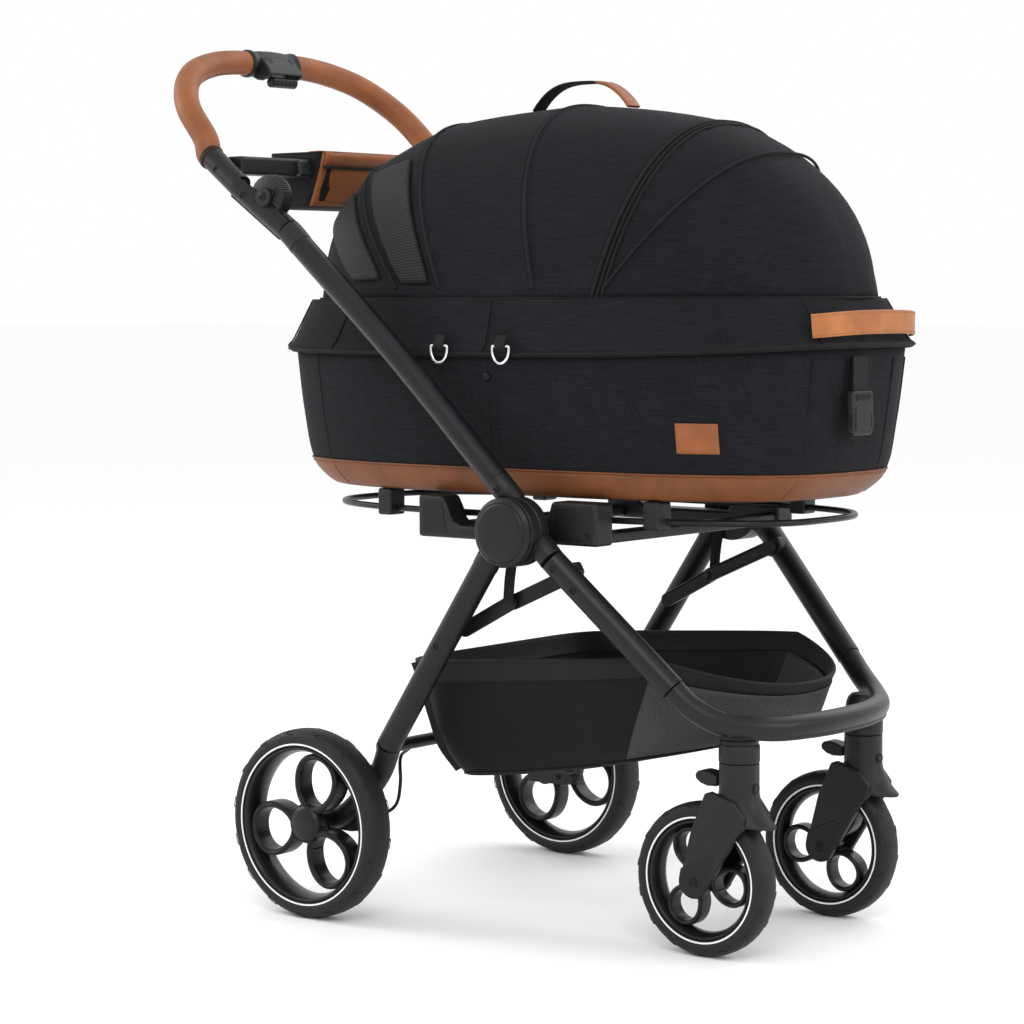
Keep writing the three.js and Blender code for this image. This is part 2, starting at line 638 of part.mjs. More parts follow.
// The foot pedal that locks the rear wheels, on the left casting.
const PEDAL_PIVOT_X = -30;
function brakePedal() {
  const inner = CASTING_OUTER_Y - 26 - 6 - GAP;
  const outline = [
    [PEDAL_PIVOT_X + 8, REAR_AXLE_Z + 12],
    [PEDAL_PIVOT_X + 2, REAR_AXLE_Z + 22],
    [-66, REAR_AXLE_Z + 26],
    [-84, REAR_AXLE_Z + 20],
    [-84, REAR_AXLE_Z + 14],
    [-64, REAR_AXLE_Z + 16],
    [PEDAL_PIVOT_X - 8, REAR_AXLE_Z + 8],
  ];
  place("brake_pedal", plate(outline, inner - 30, inner + 22), darkPlastic);
}

// The cable that carries the brake from one casting to the other, clipped along the cross tube.
function brakeCable() {
  const castingIn = CASTING_OUTER_Y - 26 - 6;
  const tubeBack = CROSS_TUBE_X - CROSS_TUBE_DIAMETER / 2 - 4;
  const half = [
    [50, castingIn - 3, REAR_AXLE_Z + 2],
    [82, castingIn - 8, REAR_AXLE_Z + 20],
    [100, INNER_Y - 12, REAR_AXLE_Z + 52],
    [88, INNER_Y - 26, CROSS_TUBE_Z - 17],
    [tubeBack - 1, INNER_Y - 62, CROSS_TUBE_Z - 11],
    [tubeBack, INNER_Y - 100, CROSS_TUBE_Z - 1],
    [tubeBack, INNER_Y - 150, CROSS_TUBE_Z],
  ];
  const mirrored = half.map(([x, y, z]) => [x, -y, z]).reverse();
  place("brake_cable", tube([...half, ...mirrored], 2.2, { sides: 5, steps: 36 }), darkPlastic);
}

// ---------------------------------------------------------------- brace

function brace() {
  const holeRadius = BRACE_PIN_RADIUS + PIN_GAP;
  const hole = ([x, z], s) => barY(x, z, holeRadius, s * (BASE_LAYER_Y + 5), s * (BASE_LAYER_Y - 40), 12);
  const link = (from, radius, layer, s) => {
    const outer = BASE_LAYER_Y - layer * (BRACE_LAYER + GAP);
    return plate(linkOutline(from, BRACE_ELBOW, radius, radius), s * (outer - BRACE_LAYER), s * outer);
  };
  for (const [side, s] of SIDES) {
    const bar = link(BRACE_BAR_FROM, 9, 2, s).subtract(hole(BRACE_BAR_FROM, s));
    place(`brace_bar_${side}`, bar, steel);
    const tie = link(BRACE_LINK_TO, 9, 1, s).subtract(hole(BRACE_LINK_TO, s));
    place(`brace_link_${side}`, tie, steel);
    place(`pull_strap_${side}`, link(STRAP_FROM, 8, 0, s), darkPlastic);
  }
}

// ---------------------------------------------------------------- handle

// The ratchet disc and the collar under it, which the handle's arm turns against.
function handleHinges() {
  for (const [side, s] of SIDES) {
    const route = [onArm(0), collarStart, collarEnd].map(([x, z]) => [x, s * TUBE_Y, z]);
    const collar = tube(route, TUBE_R, { steps: 6 });
    const tailReach = HINGE_COLLAR_RADIUS + 0.8;
    const tailRoom = barY(HINGE_X, HINGE_Z, tailReach, s * HINGE_INNER_Y, s * (OUTER_Y + 5), 36);
    const hinge = join(
      collar.subtract(tailRoom),
      barY(HINGE_X, HINGE_Z, HINGE_DISC_RADIUS, s * INNER_Y, s * HINGE_INNER_Y, 28),
      barY(HINGE_X, HINGE_Z, HINGE_PIN_RADIUS, s * INNER_Y, s * (OUTER_Y - 1), 14),
    );
    place(`handle_hinge_${side}`, hinge, mouldedPlastic);
  }
}

const gripStart = onArm(-117.2);
const gripNext = onArm(-125);
const handleLoop = [
  [gripStart[0], TUBE_Y - 8, gripStart[1]],
  [gripNext[0], TUBE_Y - 8.7, gripNext[1]],
  [-204, TUBE_Y - 10.5, 965],
  [-240, TUBE_Y - 17, 1006],
  [-264, TUBE_Y - 36, 1033],
  [-285, TUBE_Y - 70, 1057],
  [-299, TUBE_Y - 122, 1073],
  [HANDLE_BACK_X, TUBE_Y - 172, HANDLE_TOP_Z],
  [HANDLE_BACK_X, 0, HANDLE_TOP_Z],
];

// The bent tube from one arm to the other, or the room it needs in the grips and the housing.
function loopTube(radius) {
  const mirrored = handleLoop.slice(0, -1).map(([x, y, z]) => [x, -y, z]).reverse();
  const [x, z] = onArm(-80);
  const path = [[x, TUBE_Y - 5, z], ...handleLoop, ...mirrored, [x, 5 - TUBE_Y, z]];
  return tube(path, radius, { sides: 10, steps: 38 });
}

function pushHandle() {
  let made = loopTube(HANDLE_TUBE_R);
  for (const [, s] of SIDES) {
    const tail = onArm(HINGE_COLLAR_RADIUS + 12);
    const end = onArm(-116.5);
    const foot = onArm(-30);
    const route = [
      [tail[0], s * TUBE_Y, tail[1]],
      [foot[0], s * TUBE_Y, foot[1]],
      [end[0], s * (TUBE_Y - 8), end[1]],
    ];
    const arm = join(
      tube(route, TUBE_R, { steps: 6 }),
      barY(HINGE_X, HINGE_Z, 12, s * (HINGE_INNER_Y + GAP), s * OUTER_Y, 18),
    );
    const bore = (radius, outer, sides) =>
      barY(HINGE_X, HINGE_Z, radius, s * (INNER_Y - 5), s * outer, sides);
    const discRoom = bore(HINGE_COLLAR_RADIUS + 1, HINGE_INNER_Y + GAP, 36);
    const pinHole = bore(HINGE_PIN_RADIUS + PIN_GAP, OUTER_Y + 5, 14);
    made = made.add(arm.subtract(discRoom).subtract(tailTrim(s)).subtract(pinHole));
  }
  place("handle_tube", made, coatedTube);
}

// Everything past the round end of the arm's tail.
function tailTrim(s) {
  const arc = (radius, from, to) =>
    Array.from({ length: 13 }, (_, i) => {
      const turn = THREE.MathUtils.degToRad(from + ((to - from) * i) / 12);
      return [HINGE_X + radius * Math.cos(turn), HINGE_Z + radius * Math.sin(turn)];
    });
  const outline = [...arc(HINGE_COLLAR_RADIUS - 0.4, -110, 10), ...arc(HINGE_COLLAR_RADIUS + 60, 10, -110)];
  return plate(outline, s * (INNER_Y - 10), s * (OUTER_Y + 10));
}

function handleGrips() {
  const from = HOUSING_LENGTH / 2 + GAP;
  for (const [side, s] of SIDES) {
    const points = handleLoop.slice(0, -1).map(([x, y, z]) => [x, s * y, z]);
    const path = [...points, [HANDLE_BACK_X, s * from, HANDLE_TOP_Z]];
    const sleeve = tube(path, HANDLE_TUBE_R + GRIP_WALL, { sides: 10, steps: 16 });
    place(`handle_grip_${side}`, sleeve.subtract(loopTube(HANDLE_TUBE_R + GAP)), leather);
  }
}

// The moulded housing at the middle of the handle, and the squeeze lever under it.
function leverHousing() {
  const half = HOUSING_LENGTH / 2;
  const block = [
    [-6, -14],
    [18, -24],
    [34, -18],
    [28, -4],
    [12, 12],
  ].map(([x, z]) => [HANDLE_BACK_X + x, HANDLE_TOP_Z + z]);
  const slot = [
    [15, -40],
    [15, -17],
    [29, -13],
    [40, -16],
    [40, -40],
  ].map(([x, z]) => [HANDLE_BACK_X + x, HANDLE_TOP_Z + z]);
  const housing = join(barY(HANDLE_BACK_X, HANDLE_TOP_Z, 19, -half, half, 20), plate(block, -32, 32))
    .subtract(loopTube(HANDLE_TUBE_R + GAP))
    .subtract(plate(slot, -26, 26));
  place("lever_housing", housing, mouldedPlastic);
  const lever = [
    [17, -22],
    [27, -17],
    [33, -20],
    [31, -30],
    [21, -32],
  ].map(([x, z]) => [HANDLE_BACK_X + x, HANDLE_TOP_Z + z]);
  place("fold_lever", plate(lever, -24, 24), darkPlastic);
}

// The organiser: a moulded hoop held by two brackets, with a leather pouch inside it.
const POUCH_BACK_X = -232;
const POUCH_BOTTOM_Z = 882;
const POUCH_TOP_Z = 955;
function organiser() {
  const half = POUCH_WIDTH / 2;
  const z0 = 921;
  const z1 = 945;
  const frontAt = (z) => -150 + ((z - POUCH_BOTTOM_Z) / (POUCH_TOP_Z - POUCH_BOTTOM_Z)) * 25;
  const outline = [
    [POUCH_BACK_X, POUCH_BOTTOM_Z],
    [frontAt(POUCH_BOTTOM_Z), POUCH_BOTTOM_Z],
    [frontAt(POUCH_TOP_Z), POUCH_TOP_Z],
    [POUCH_BACK_X, POUCH_TOP_Z],
  ];
  const hollow = [
    [POUCH_BACK_X + POUCH_WALL, POUCH_BOTTOM_Z + POUCH_WALL],
    [frontAt(POUCH_BOTTOM_Z) - POUCH_WALL, POUCH_BOTTOM_Z + POUCH_WALL],
    [frontAt(POUCH_TOP_Z) - POUCH_WALL, POUCH_TOP_Z + 5],
    [POUCH_BACK_X + POUCH_WALL, POUCH_TOP_Z + 5],
  ];
  const inside = half - POUCH_WALL;
  place("organiser_pouch", plate(outline, -half, half).subtract(plate(hollow, -inside, inside)), leather);

  const front = frontAt(z1) + 1;
  const wall = 6;
  const around = box(POUCH_BACK_X - 1 - wall, front + wall, -half - 1 - wall, half + 1 + wall, z0, z1);
  const pouchRoom = box(POUCH_BACK_X - 1, front, -half - 1, half + 1, z0 - 5, z1 + 5);
  const brackets = SIDES.map(([, s]) => box(-178, -150, s * (half + 2), s * (TUBE_Y - 8), z0, z1));
  const armRoom = SIDES.map(([, s]) => {
    const foot = onArm(-30);
    const end = onArm(-130);
    return rod([foot[0], s * TUBE_Y, foot[1]], [end[0], s * (TUBE_Y - 9.3), end[1]], TUBE_R + GAP);
  });
  const frame = join(around, ...brackets).subtract(pouchRoom);
  place("organiser_frame", armRoom.reduce((a, b) => a.subtract(b), frame), mouldedPlastic);
}

// ---------------------------------------------------------------- carrier

const HALF_L = CARRIER_LENGTH / 2;
const HALF_W = CARRIER_WIDTH / 2;
// Rings of the tub's outside, as [height, inset from the rim along X, inset along Y].
const TUB_RINGS = [
  [CARRIER_BASE_Z, 72, 35],
  [CARRIER_BASE_Z + 6, 62, 28],
  [CARRIER_BASE_Z + 30, 36, 21],
  [CARRIER_BASE_Z + 90, 23, 13],
  [RIM_Z - GAP, 12, 8],
];

function tub() {
  const outside = loft(TUB_RINGS.map(([z, dx, dy]) => oval(CARRIER_X, HALF_L - dx, HALF_W - dy, z)));
  const wall = FABRIC + 1;
  const inner = TUB_RINGS.slice(1).map(([z, dx, dy]) => [z, dx + wall, dy + wall]);
  inner[0][0] = CARRIER_BASE_Z + 8;
  inner[inner.length - 1][0] = RIM_Z + 10;
  const inside = loft(inner.map(([z, dx, dy]) => oval(CARRIER_X, HALF_L - dx, HALF_W - dy, z)));
  place("carrier_tub", outside.subtract(inside), charcoalFabric);

  const [, dx, dy] = TUB_RINGS[2];
  const inset = wall + 8;
  const z0 = CARRIER_BASE_Z + 8 + GAP;
  const mattress = [
    oval(CARRIER_X, HALF_L - 62 - inset, HALF_W - 28 - inset, z0),
    oval(CARRIER_X, HALF_L - dx - inset, HALF_W - dy - inset, z0 + MATTRESS_THICKNESS / 2),
    oval(CARRIER_X, HALF_L - dx - inset - 6, HALF_W - dy - inset - 6, z0 + MATTRESS_THICKNESS),
  ];
  place("mattress", loft(mattress), blackFabric);
}

// The dome's ring at a height above the skirt, moved in by a wall.
function domeRing(rise, wall) {
  const height = DOME_HEIGHT - wall;
  const share = Math.min(rise / height, 0.9999);
  const scale = (1 - share ** DOME_RISE_POWER) ** (1 / DOME_RISE_POWER);
  const centre = CARRIER_X + DOME_LEAN * rise;
  const halfLength = (HALF_L - 36 - wall) * scale;
  const halfWidth = (HALF_W - 23 - wall) * scale;
  return oval(centre, halfLength, halfWidth, SKIRT_Z + rise, DOME_PLAN_POWER);
}

function domeSolid(wall, startZ) {
  const collar = [
    [RIM_Z + GAP, 4, 3],
    [RIM_Z + 6, 0, 0],
    [RIM_Z + 13, 5, 4],
    [SKIRT_Z - 3, 37, 19],
  ].map(([z, dx, dy]) => oval(CARRIER_X, HALF_L - dx - wall, HALF_W - dy - wall, z));
  if (wall) collar[0] = oval(CARRIER_X, HALF_L - 14 - wall, HALF_W - 9 - wall, startZ);
  const height = DOME_HEIGHT - wall;
  const rises = [0, 0.32, 0.56, 0.75, 0.89, 0.97, 0.9995].map((share) => share * height);
  return loft([...collar, ...rises.map((rise) => domeRing(rise, wall))]);
}

const archSlope = Math.tan(THREE.MathUtils.degToRad(ARCH_LEAN));
// Everything ahead of the zipped arch and above the skirt.
function hoodRoom(gap) {
  const z0 = SKIRT_Z + gap;
  const z1 = SKIRT_Z + DOME_HEIGHT + 60;
  const front = CARRIER_X + HALF_L + 60;
  const outline = [
    [ARCH_BASE_X + gap, z0],
    [ARCH_BASE_X + gap + archSlope * (z1 - z0), z1],
    [front, z1],
    [front, z0],
  ];
  return plate(outline, -HALF_W - 40, HALF_W + 40);
}

function canopy() {
  const shell = domeSolid(0, RIM_Z).subtract(domeSolid(FABRIC, RIM_Z - 10));
  place("canopy", shell.subtract(hoodRoom(0)), charcoalFabric);
  const hoodShell = domeSolid(0.2, RIM_Z).subtract(domeSolid(FABRIC, RIM_Z - 10));
  place("hood", hoodShell.intersect(hoodRoom(0.5)), charcoalFabric);

  // The bow lies just inside the hood, in a plane that leans forward from the arch's foot.
  const lean = THREE.MathUtils.degToRad(HOOD_BOW_LEAN);
  const inset = FABRIC + HOOD_BOW_RADIUS + 3;
  const points = [];
  const stations = 15;
  for (let i = 0; i <= stations; i++) {
    const turn = (Math.PI * i) / stations;
    points.push(bowPoint(turn, lean, inset));
  }
  place("hood_bow", tube(points, HOOD_BOW_RADIUS, { sides: 6, steps: 24 }), steel);
}

// A point of the bow at an angle round its arch, found by stepping out to the dome's inside.
function bowPoint(turn, lean, inset) {
  const towards = [Math.sin(turn) * Math.sin(lean), Math.cos(turn), Math.sin(turn) * Math.cos(lean)];
  let reach = 0;
  for (let step = 64; step > 0.05; step /= 2) {
    const inside = (r) =>
      insideDome(ARCH_BASE_X + r * towards[0], r * towards[1], r * towards[2] + 4, inset);
    while (inside(reach + step)) reach += step;
  }
  return [ARCH_BASE_X + reach * towards[0], reach * towards[1], SKIRT_Z + 4 + reach * towards[2]];
}

function insideDome(x, y, rise, inset) {
  const height = DOME_HEIGHT - inset;
  if (rise > height) return false;
  const scale = (1 - (rise / height) ** DOME_RISE_POWER) ** (1 / DOME_RISE_POWER);
  const u = Math.abs(x - CARRIER_X - DOME_LEAN * rise) / ((HALF_L - 36 - inset) * scale);
  const v = Math.abs(y) / ((HALF_W - 23 - inset) * scale);
  return u ** DOME_PLAN_POWER + v ** DOME_PLAN_POWER < 1;
}

// The carry strap over the crest.
const STRAP_X = 230;
const STRAP_HALF_LENGTH = 76;
const STRAP_RISE = 31;
function carryStrap() {
  const crest = SKIRT_Z + DOME_HEIGHT;
  const arch = (half, rise) =>
    Array.from({ length: 15 }, (_, i) => {
      const t = -1 + (2 * i) / 14;
      return [STRAP_X + half * t, crest - 6 + (rise + 6) * (1 - Math.abs(t) ** 3)];
    });
  const underside = arch(STRAP_HALF_LENGTH - 5, STRAP_RISE - 4).reverse();
  const outline = [...arch(STRAP_HALF_LENGTH, STRAP_RISE), ...underside];
  place("carry_strap", plate(outline, -13, 13).subtract(domeSolid(-GAP, RIM_Z)), leather);
}

// A point on the carrier's outline at an angle, moved out by an offset.
function outlinePoint(degrees, dx, dy, offset) {
  const turn = THREE.MathUtils.degToRad(degrees);
  const c = Math.cos(turn);
  const s = Math.sin(turn);
  const x = CARRIER_X + Math.sign(c) * (HALF_L - dx + offset) * Math.abs(c) ** (2 / OVAL_POWER);
  return [x, Math.sign(s) * (HALF_W - dy + offset) * Math.abs(s) ** (2 / OVAL_POWER)];
}

// The leather grab handle across the nose.
const GRAB_FROM = -22;
const GRAB_TO = 22;
function noseHandle() {
  const sections = [];
  for (let i = 0; i <= 12; i++) {
    const t = i / 12;
    const degrees = GRAB_FROM + (GRAB_TO - GRAB_FROM) * t;
    const bow = 4 + 12 * Math.sin(Math.PI * t);
    const outer = outlinePoint(degrees, 14, 10, bow + 4);
    const inner = outlinePoint(degrees, 14, 10, bow);
    const z0 = SKIRT_Z - 45;
    const z1 = SKIRT_Z - 17;
    sections.push([[...inner, z0], [...outer, z0], [...outer, z1], [...inner, z1]]);
  }
  place("nose_handle", loft(sections), leather);
}

// The webbing tail and side-release buckle on the nose.
const BUCKLE_AT = -4.6;
const BUCKLE_WIDTH = 42;
function buckle() {
  const [x, y] = outlinePoint(BUCKLE_AT, 12, 8, 3);
  const web = box(-1.5, 1.5, -14, 14, RIM_Z - 40, RIM_Z - 3);
  const body = box(-4, 6, -BUCKLE_WIDTH / 2, BUCKLE_WIDTH / 2, RIM_Z - 90, RIM_Z - 38);
  const turned = join(web, body).rotate([0, 0, 0.8 * BUCKLE_AT]);
  place("buckle", turned.translate([x + 2, y, 0]), mouldedPlastic);
}

// A D-shaped wire ring that hangs at the side of the collar.
const D_RINGS = [
  ["front", 266],
  ["rear", 172],
];
function dRings() {
  const y = -(HALF_W + 3.2);
  const top = RIM_Z + 11;
  for (const [name, x] of D_RINGS) {
    const bow = Array.from({ length: 9 }, (_, i) => {
      const turn = (Math.PI * i) / 8;
      return [x + 13 * Math.cos(turn), y, top - 3 - 17 * Math.sin(turn)];
    });
    const half = [[x - 12, y, top], [x, y, top], [x + 12, y, top]];
    const wire = tube([...half, ...bow], 1.8, { sides: 6, steps: 20, closed: true });
    place(`d_ring_${name}`, wire, brightWire);
  }
}

// The wire ring under the base, with the blocks that hold it.
function supportRing() {
  const half = [HALF_L - 74, HALF_W - 48];
  const path = oval(CARRIER_X + 3, half[0], half[1], RING_Z, OVAL_POWER, 28);
  const wire = tube(path, RING_WIRE / 2, { sides: 6, steps: 44, closed: true });
  const blocks = [];
  for (const x of [CARRIER_X - 190, CARRIER_X + 215]) {
    for (const [, s] of SIDES) {
      const y = s * (half[1] - 8);
      blocks.push(box(x - 11, x + 11, y - 14, y + 14, RING_Z - 9, CARRIER_BASE_Z - GAP));
    }
  }
  place("support_ring", join(wire, ...blocks), steel);
}

// ---------------------------------------------------------------- basket

function basketRing(level, wall) {
  const halfWidth = INNER_Y - BASKET_SIDE_GAP - wall;
  const x0 = BASKET_REAR_X + wall;
  const x1 = BASKET_FRONT_X - wall;
  const count = 28;
  return Array.from({ length: count }, (_, i) => {
    const turn = (2 * Math.PI * i) / count;
    const c = Math.cos(turn);
    const s = Math.sin(turn);
    const roundness = c < 0 ? 0.18 : 0.85;
    const reach = 0.5 + 0.5 * Math.sign(c) * Math.abs(c) ** roundness;
    const x = x0 + (x1 - x0) * reach + (1 - level) * (c < 0 ? 40 : -14) * Math.abs(c);
    const taper = (1 - 0.14 * reach) * (0.94 + 0.06 * level);
    const y = Math.sign(s) * halfWidth * Math.abs(s) ** roundness * taper;
    const bottom = 178 + 66 * reach ** 1.6;
    const top = 318 + 36 * Math.min(reach, 0.75) - 140 * Math.max(0, reach - 0.75);
    const lift = !wall ? 0 : level < 1 ? wall : 10;
    return [x, y, bottom + lift + (top - bottom) * level];
  });
}

function basket() {
  const shell = (wall) => loft([0, 0.5, 1].map((level) => basketRing(level, wall)));
  place("basket", shell(0).subtract(shell(BASKET_WALL)), meshFabric);
}

wheels();
casters();
upperTubes();
hubs();
frontLegs();
frontBar();
seatFrame();
rearLegs();
rearCastings();
rearCrossTube();
brakePedal();
brakeCable();
brace();
handleHinges();
pushHandle();
handleGrips();
leverHousing();
organiser();
tub();
canopy();
carryStrap();
noseHandle();
buckle();
dRings();
supportRing();
basket();

// The origin is under the middle of the whole stroller, on the floor.
const extent = new THREE.Box3().setFromObject(stroller, true);
stroller.position.x = -(extent.min.x + extent.max.x) / 2;

export default stroller;
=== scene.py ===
import math

import bmesh
import bpy
from mathutils import Matrix, Vector, noise


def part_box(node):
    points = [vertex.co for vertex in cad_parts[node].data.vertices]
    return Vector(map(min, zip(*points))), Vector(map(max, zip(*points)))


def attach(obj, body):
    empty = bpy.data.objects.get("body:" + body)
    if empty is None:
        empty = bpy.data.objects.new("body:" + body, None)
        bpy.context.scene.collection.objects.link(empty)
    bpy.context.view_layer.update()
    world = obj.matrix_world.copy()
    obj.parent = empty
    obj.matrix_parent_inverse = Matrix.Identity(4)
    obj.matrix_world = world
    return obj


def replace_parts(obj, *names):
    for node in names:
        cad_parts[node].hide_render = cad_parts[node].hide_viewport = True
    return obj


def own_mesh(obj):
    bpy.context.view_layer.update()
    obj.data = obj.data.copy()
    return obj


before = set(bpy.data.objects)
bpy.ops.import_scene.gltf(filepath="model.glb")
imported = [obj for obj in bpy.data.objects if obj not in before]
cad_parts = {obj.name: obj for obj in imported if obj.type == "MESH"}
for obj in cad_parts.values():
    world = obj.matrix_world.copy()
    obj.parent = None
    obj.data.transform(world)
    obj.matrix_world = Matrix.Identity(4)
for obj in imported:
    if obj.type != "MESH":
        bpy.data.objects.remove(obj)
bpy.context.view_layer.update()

# Studio. A seamless pale floor, bright air and four large soft lamps, and a camera a little
# above the height of the handle's hinges, off the stroller's right front corner.
wheel_low, wheel_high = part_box("rear_tyre_left")
axle_x = (wheel_low.x + wheel_high.x) / 2


def at(x, y, z):
    """A point given from the rear axle, the middle line and the floor."""
    return Vector((axle_x + x, y, z))


def add_lamp(name, place, towards, width, power, colour=(1, 1, 1)):
    lamp = bpy.data.lights.new(name, "AREA")
    lamp.shape = "RECTANGLE"
    lamp.size = width
    lamp.size_y = width
    lamp.energy = power
    lamp.color = colour
    holder = bpy.data.objects.new(name, lamp)
    holder.location = place
    holder.rotation_euler = (Vector(towards) - Vector(place)).to_track_quat("-Z", "Y").to_euler()
    bpy.context.scene.collection.objects.link(holder)
    return holder


add_lamp("key_lamp", (2.2, -3.0, 3.2), (0, 0, 0.5), 2.2, 62)
add_lamp("rim_lamp", (-3.2, -1.2, 2.2), (0, 0, 0.6), 1.8, 40)
add_lamp("back_lamp", (0.6, 3.2, 3.2), (0, 0, 0.5), 3.0, 42)
add_lamp("nose_lamp", (3.4, 0.6, 1.8), (0.2, 0, 0.6), 1.4, 26)

world = bpy.data.worlds.new("studio_air")
bpy.context.scene.world = world
world.use_nodes = True
world.node_tree.nodes["Background"].inputs["Color"].default_value = (1, 1, 1, 1)
world.node_tree.nodes["Background"].inputs["Strength"].default_value = 1.0
bpy.context.scene.view_settings.view_transform = "Standard"

camera = bpy.data.cameras.new("camera")
camera.lens = 100.15
camera.sensor_width = 36
viewer = bpy.data.objects.new("camera", camera)
viewer.location = at(2.3545, -2.8513, 0.7668)
azimuth, elevation, roll = (math.radians(a) for a in (38.176, 4.324, -0.136))
back = Vector(
    (math.sin(azimuth) * math.cos(elevation), -math.cos(azimuth) * math.cos(elevation), math.sin(elevation))
)
viewer.rotation_euler = (
    back.to_track_quat("Z", "Y").to_matrix() @ Matrix.Rotation(roll, 3, "Z")
).to_euler()
bpy.context.scene.collection.objects.link(viewer)
bpy.context.scene.camera = viewer

floor_mesh = bpy.data.meshes.new("floor")
floor_mesh.from_pydata([(-60, -60, 0), (60, -60, 0), (60, 60, 0), (-60, 60, 0)], [], [(0, 1, 2, 3)])
floor = bpy.data.objects.new("floor", floor_mesh)
bpy.context.scene.collection.objects.link(floor)
paper = bpy.data.materials.new("paper")
paper.use_nodes = True
paper.node_tree.nodes["Principled BSDF"].inputs["Base Color"].default_value = (0.97, 0.97, 0.97, 1)
paper.node_tree.nodes["Principled BSDF"].inputs["Roughness"].default_value = 0.85
floor_mesh.materials.append(paper)


# Rear legs. Two powder-coated aluminium tubes turn on the hubs by flat knuckle discs, and each
# is pressed into a moulded casting that curves down to the wheel's stub axle.
def grained(name, colour, roughness, bump, grain, metallic=0.0, mottle=0.12):
    """A finish with a fine grain in its surface and a slight drift in its colour."""
    material = bpy.data.materials.new(name)
    material.use_nodes = True
    nodes = material.node_tree.nodes
    links = material.node_tree.links
    shader = nodes["Principled BSDF"]
    shader.inputs["Roughness"].default_value = roughness
    shader.inputs["Metallic"].default_value = metallic
    shader.inputs["Specular IOR Level"].default_value = 0.28
    place = nodes.new("ShaderNodeTexCoord")
    drift = nodes.new("ShaderNodeTexNoise")
    drift.inputs["Scale"].default_value = 14
    drift.inputs["Detail"].default_value = 4
    links.new(place.outputs["Object"], drift.inputs["Vector"])
    tint = nodes.new("ShaderNodeValToRGB")
    tint.color_ramp.elements[0].position = 0.3
    tint.color_ramp.elements[0].color = (*[c * (1 - mottle) for c in colour], 1)
    tint.color_ramp.elements[1].position = 0.7
    tint.color_ramp.elements[1].color = (*[c * (1 + mottle) for c in colour], 1)
    links.new(drift.outputs["Fac"], tint.inputs["Fac"])
    links.new(tint.outputs["Color"], shader.inputs["Base Color"])
    pores = nodes.new("ShaderNodeTexNoise")
    pores.inputs["Scale"].default_value = grain
    pores.inputs["Detail"].default_value = 3
    links.new(place.outputs["Object"], pores.inputs["Vector"])
    relief = nodes.new("ShaderNodeBump")
    relief.inputs["Strength"].default_value = bump
    relief.inputs["Distance"].default_value = 0.0004
    links.new(pores.outputs["Fac"], relief.inputs["Height"])
    links.new(relief.outputs["Normal"], shader.inputs["Normal"])
    return material


powder_coat = grained("powder_coat", (0.0085, 0.009, 0.0108), 0.36, 0.25, 900, metallic=0.1)
moulding = grained("moulding", (0.009, 0.0094, 0.0106), 0.44, 0.35, 1400)
dark_moulding = grained("dark_moulding", (0.0048, 0.005, 0.0056), 0.4, 0.2, 1400)
dark_steel = grained("dark_steel", (0.016, 0.0165, 0.0185), 0.36, 0.1, 600, metallic=0.6)


def build(name, points, faces, material, body, slot, smooth=True, uvs=None):
    """A mesh piece that rides on a body, in the finish it is given; the slot is not used."""
    mesh = bpy.data.meshes.new(name)
    mesh.from_pydata([tuple(p) for p in points], [], faces)
    piece = bpy.data.objects.new(name, mesh)
    bpy.context.scene.collection.objects.link(piece)
    if uvs is not None:
        layer = mesh.uv_layers.new(name="cloth")
        for loop in mesh.loops:
            layer.data[loop.index].uv = uvs[loop.vertex_index]
    shaped = bmesh.new()
    shaped.from_mesh(mesh)
    bmesh.ops.recalc_face_normals(shaped, faces=shaped.faces)
    shaped.to_mesh(mesh)
    shaped.free()
    if smooth:
        mesh.polygons.foreach_set("use_smooth", [True] * len(mesh.polygons))
    mesh.materials.append(material)
    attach(piece, body)
    return piece


def apply_all(piece):
    """Leaves the piece with the mesh that its modifiers make."""
    bpy.context.view_layer.update()
    made = bpy.data.meshes.new_from_object(piece.evaluated_get(bpy.context.evaluated_depsgraph_get()))
    piece.modifiers.clear()
    piece.data = made
    return piece


def bevelled(piece, width, segments=3, angle=35):
    edge = piece.modifiers.new("edge", "BEVEL")
    edge.width = width
    edge.segments = segments
    edge.limit_method = "ANGLE"
    edge.angle_limit = math.radians(angle)
    edge.harden_normals = False
    apply_all(piece)
    piece.data.polygons.foreach_set("use_smooth", [True] * len(piece.data.polygons))
    flatten = piece.modifiers.new("flatten", "WEIGHTED_NORMAL")
    flatten.keep_sharp = True
    return apply_all(piece)


def smooth_path(points, per_span=8, closed=False):
    """A Catmull-Rom curve through the points."""
    points = [Vector(p) for p in points]
    count = len(points)
    curve = []
    spans = count if closed else count - 1
    for i in range(spans):
        if closed:
            a, b, c, d = (points[(i + k) % count] for k in (-1, 0, 1, 2))
        else:
            b, c = points[i], points[i + 1]
            a = points[i - 1] if i else b + (b - c)
            d = points[i + 2] if i + 2 < count else c + (c - b)
        ab, bc, cd = ((q - p).length ** 0.5 or 1e-6 for p, q in ((a, b), (b, c), (c, d)))
        m1 = (c - b) + bc * ((b - a) / ab - (c - a) / (ab + bc))
        m2 = (c - b) + bc * ((d - c) / cd - (d - b) / (bc + cd))
        for k in range(per_span):
            t = k / per_span
            h = (2 * t**3 - 3 * t**2 + 1, t**3 - 2 * t**2 + t, -2 * t**3 + 3 * t**2, t**3 - t**2)
            curve.append(h[0] * b + h[1] * m1 + h[2] * c + h[3] * m2)
    if not closed:
        curve.append(points[-1])
    return curve


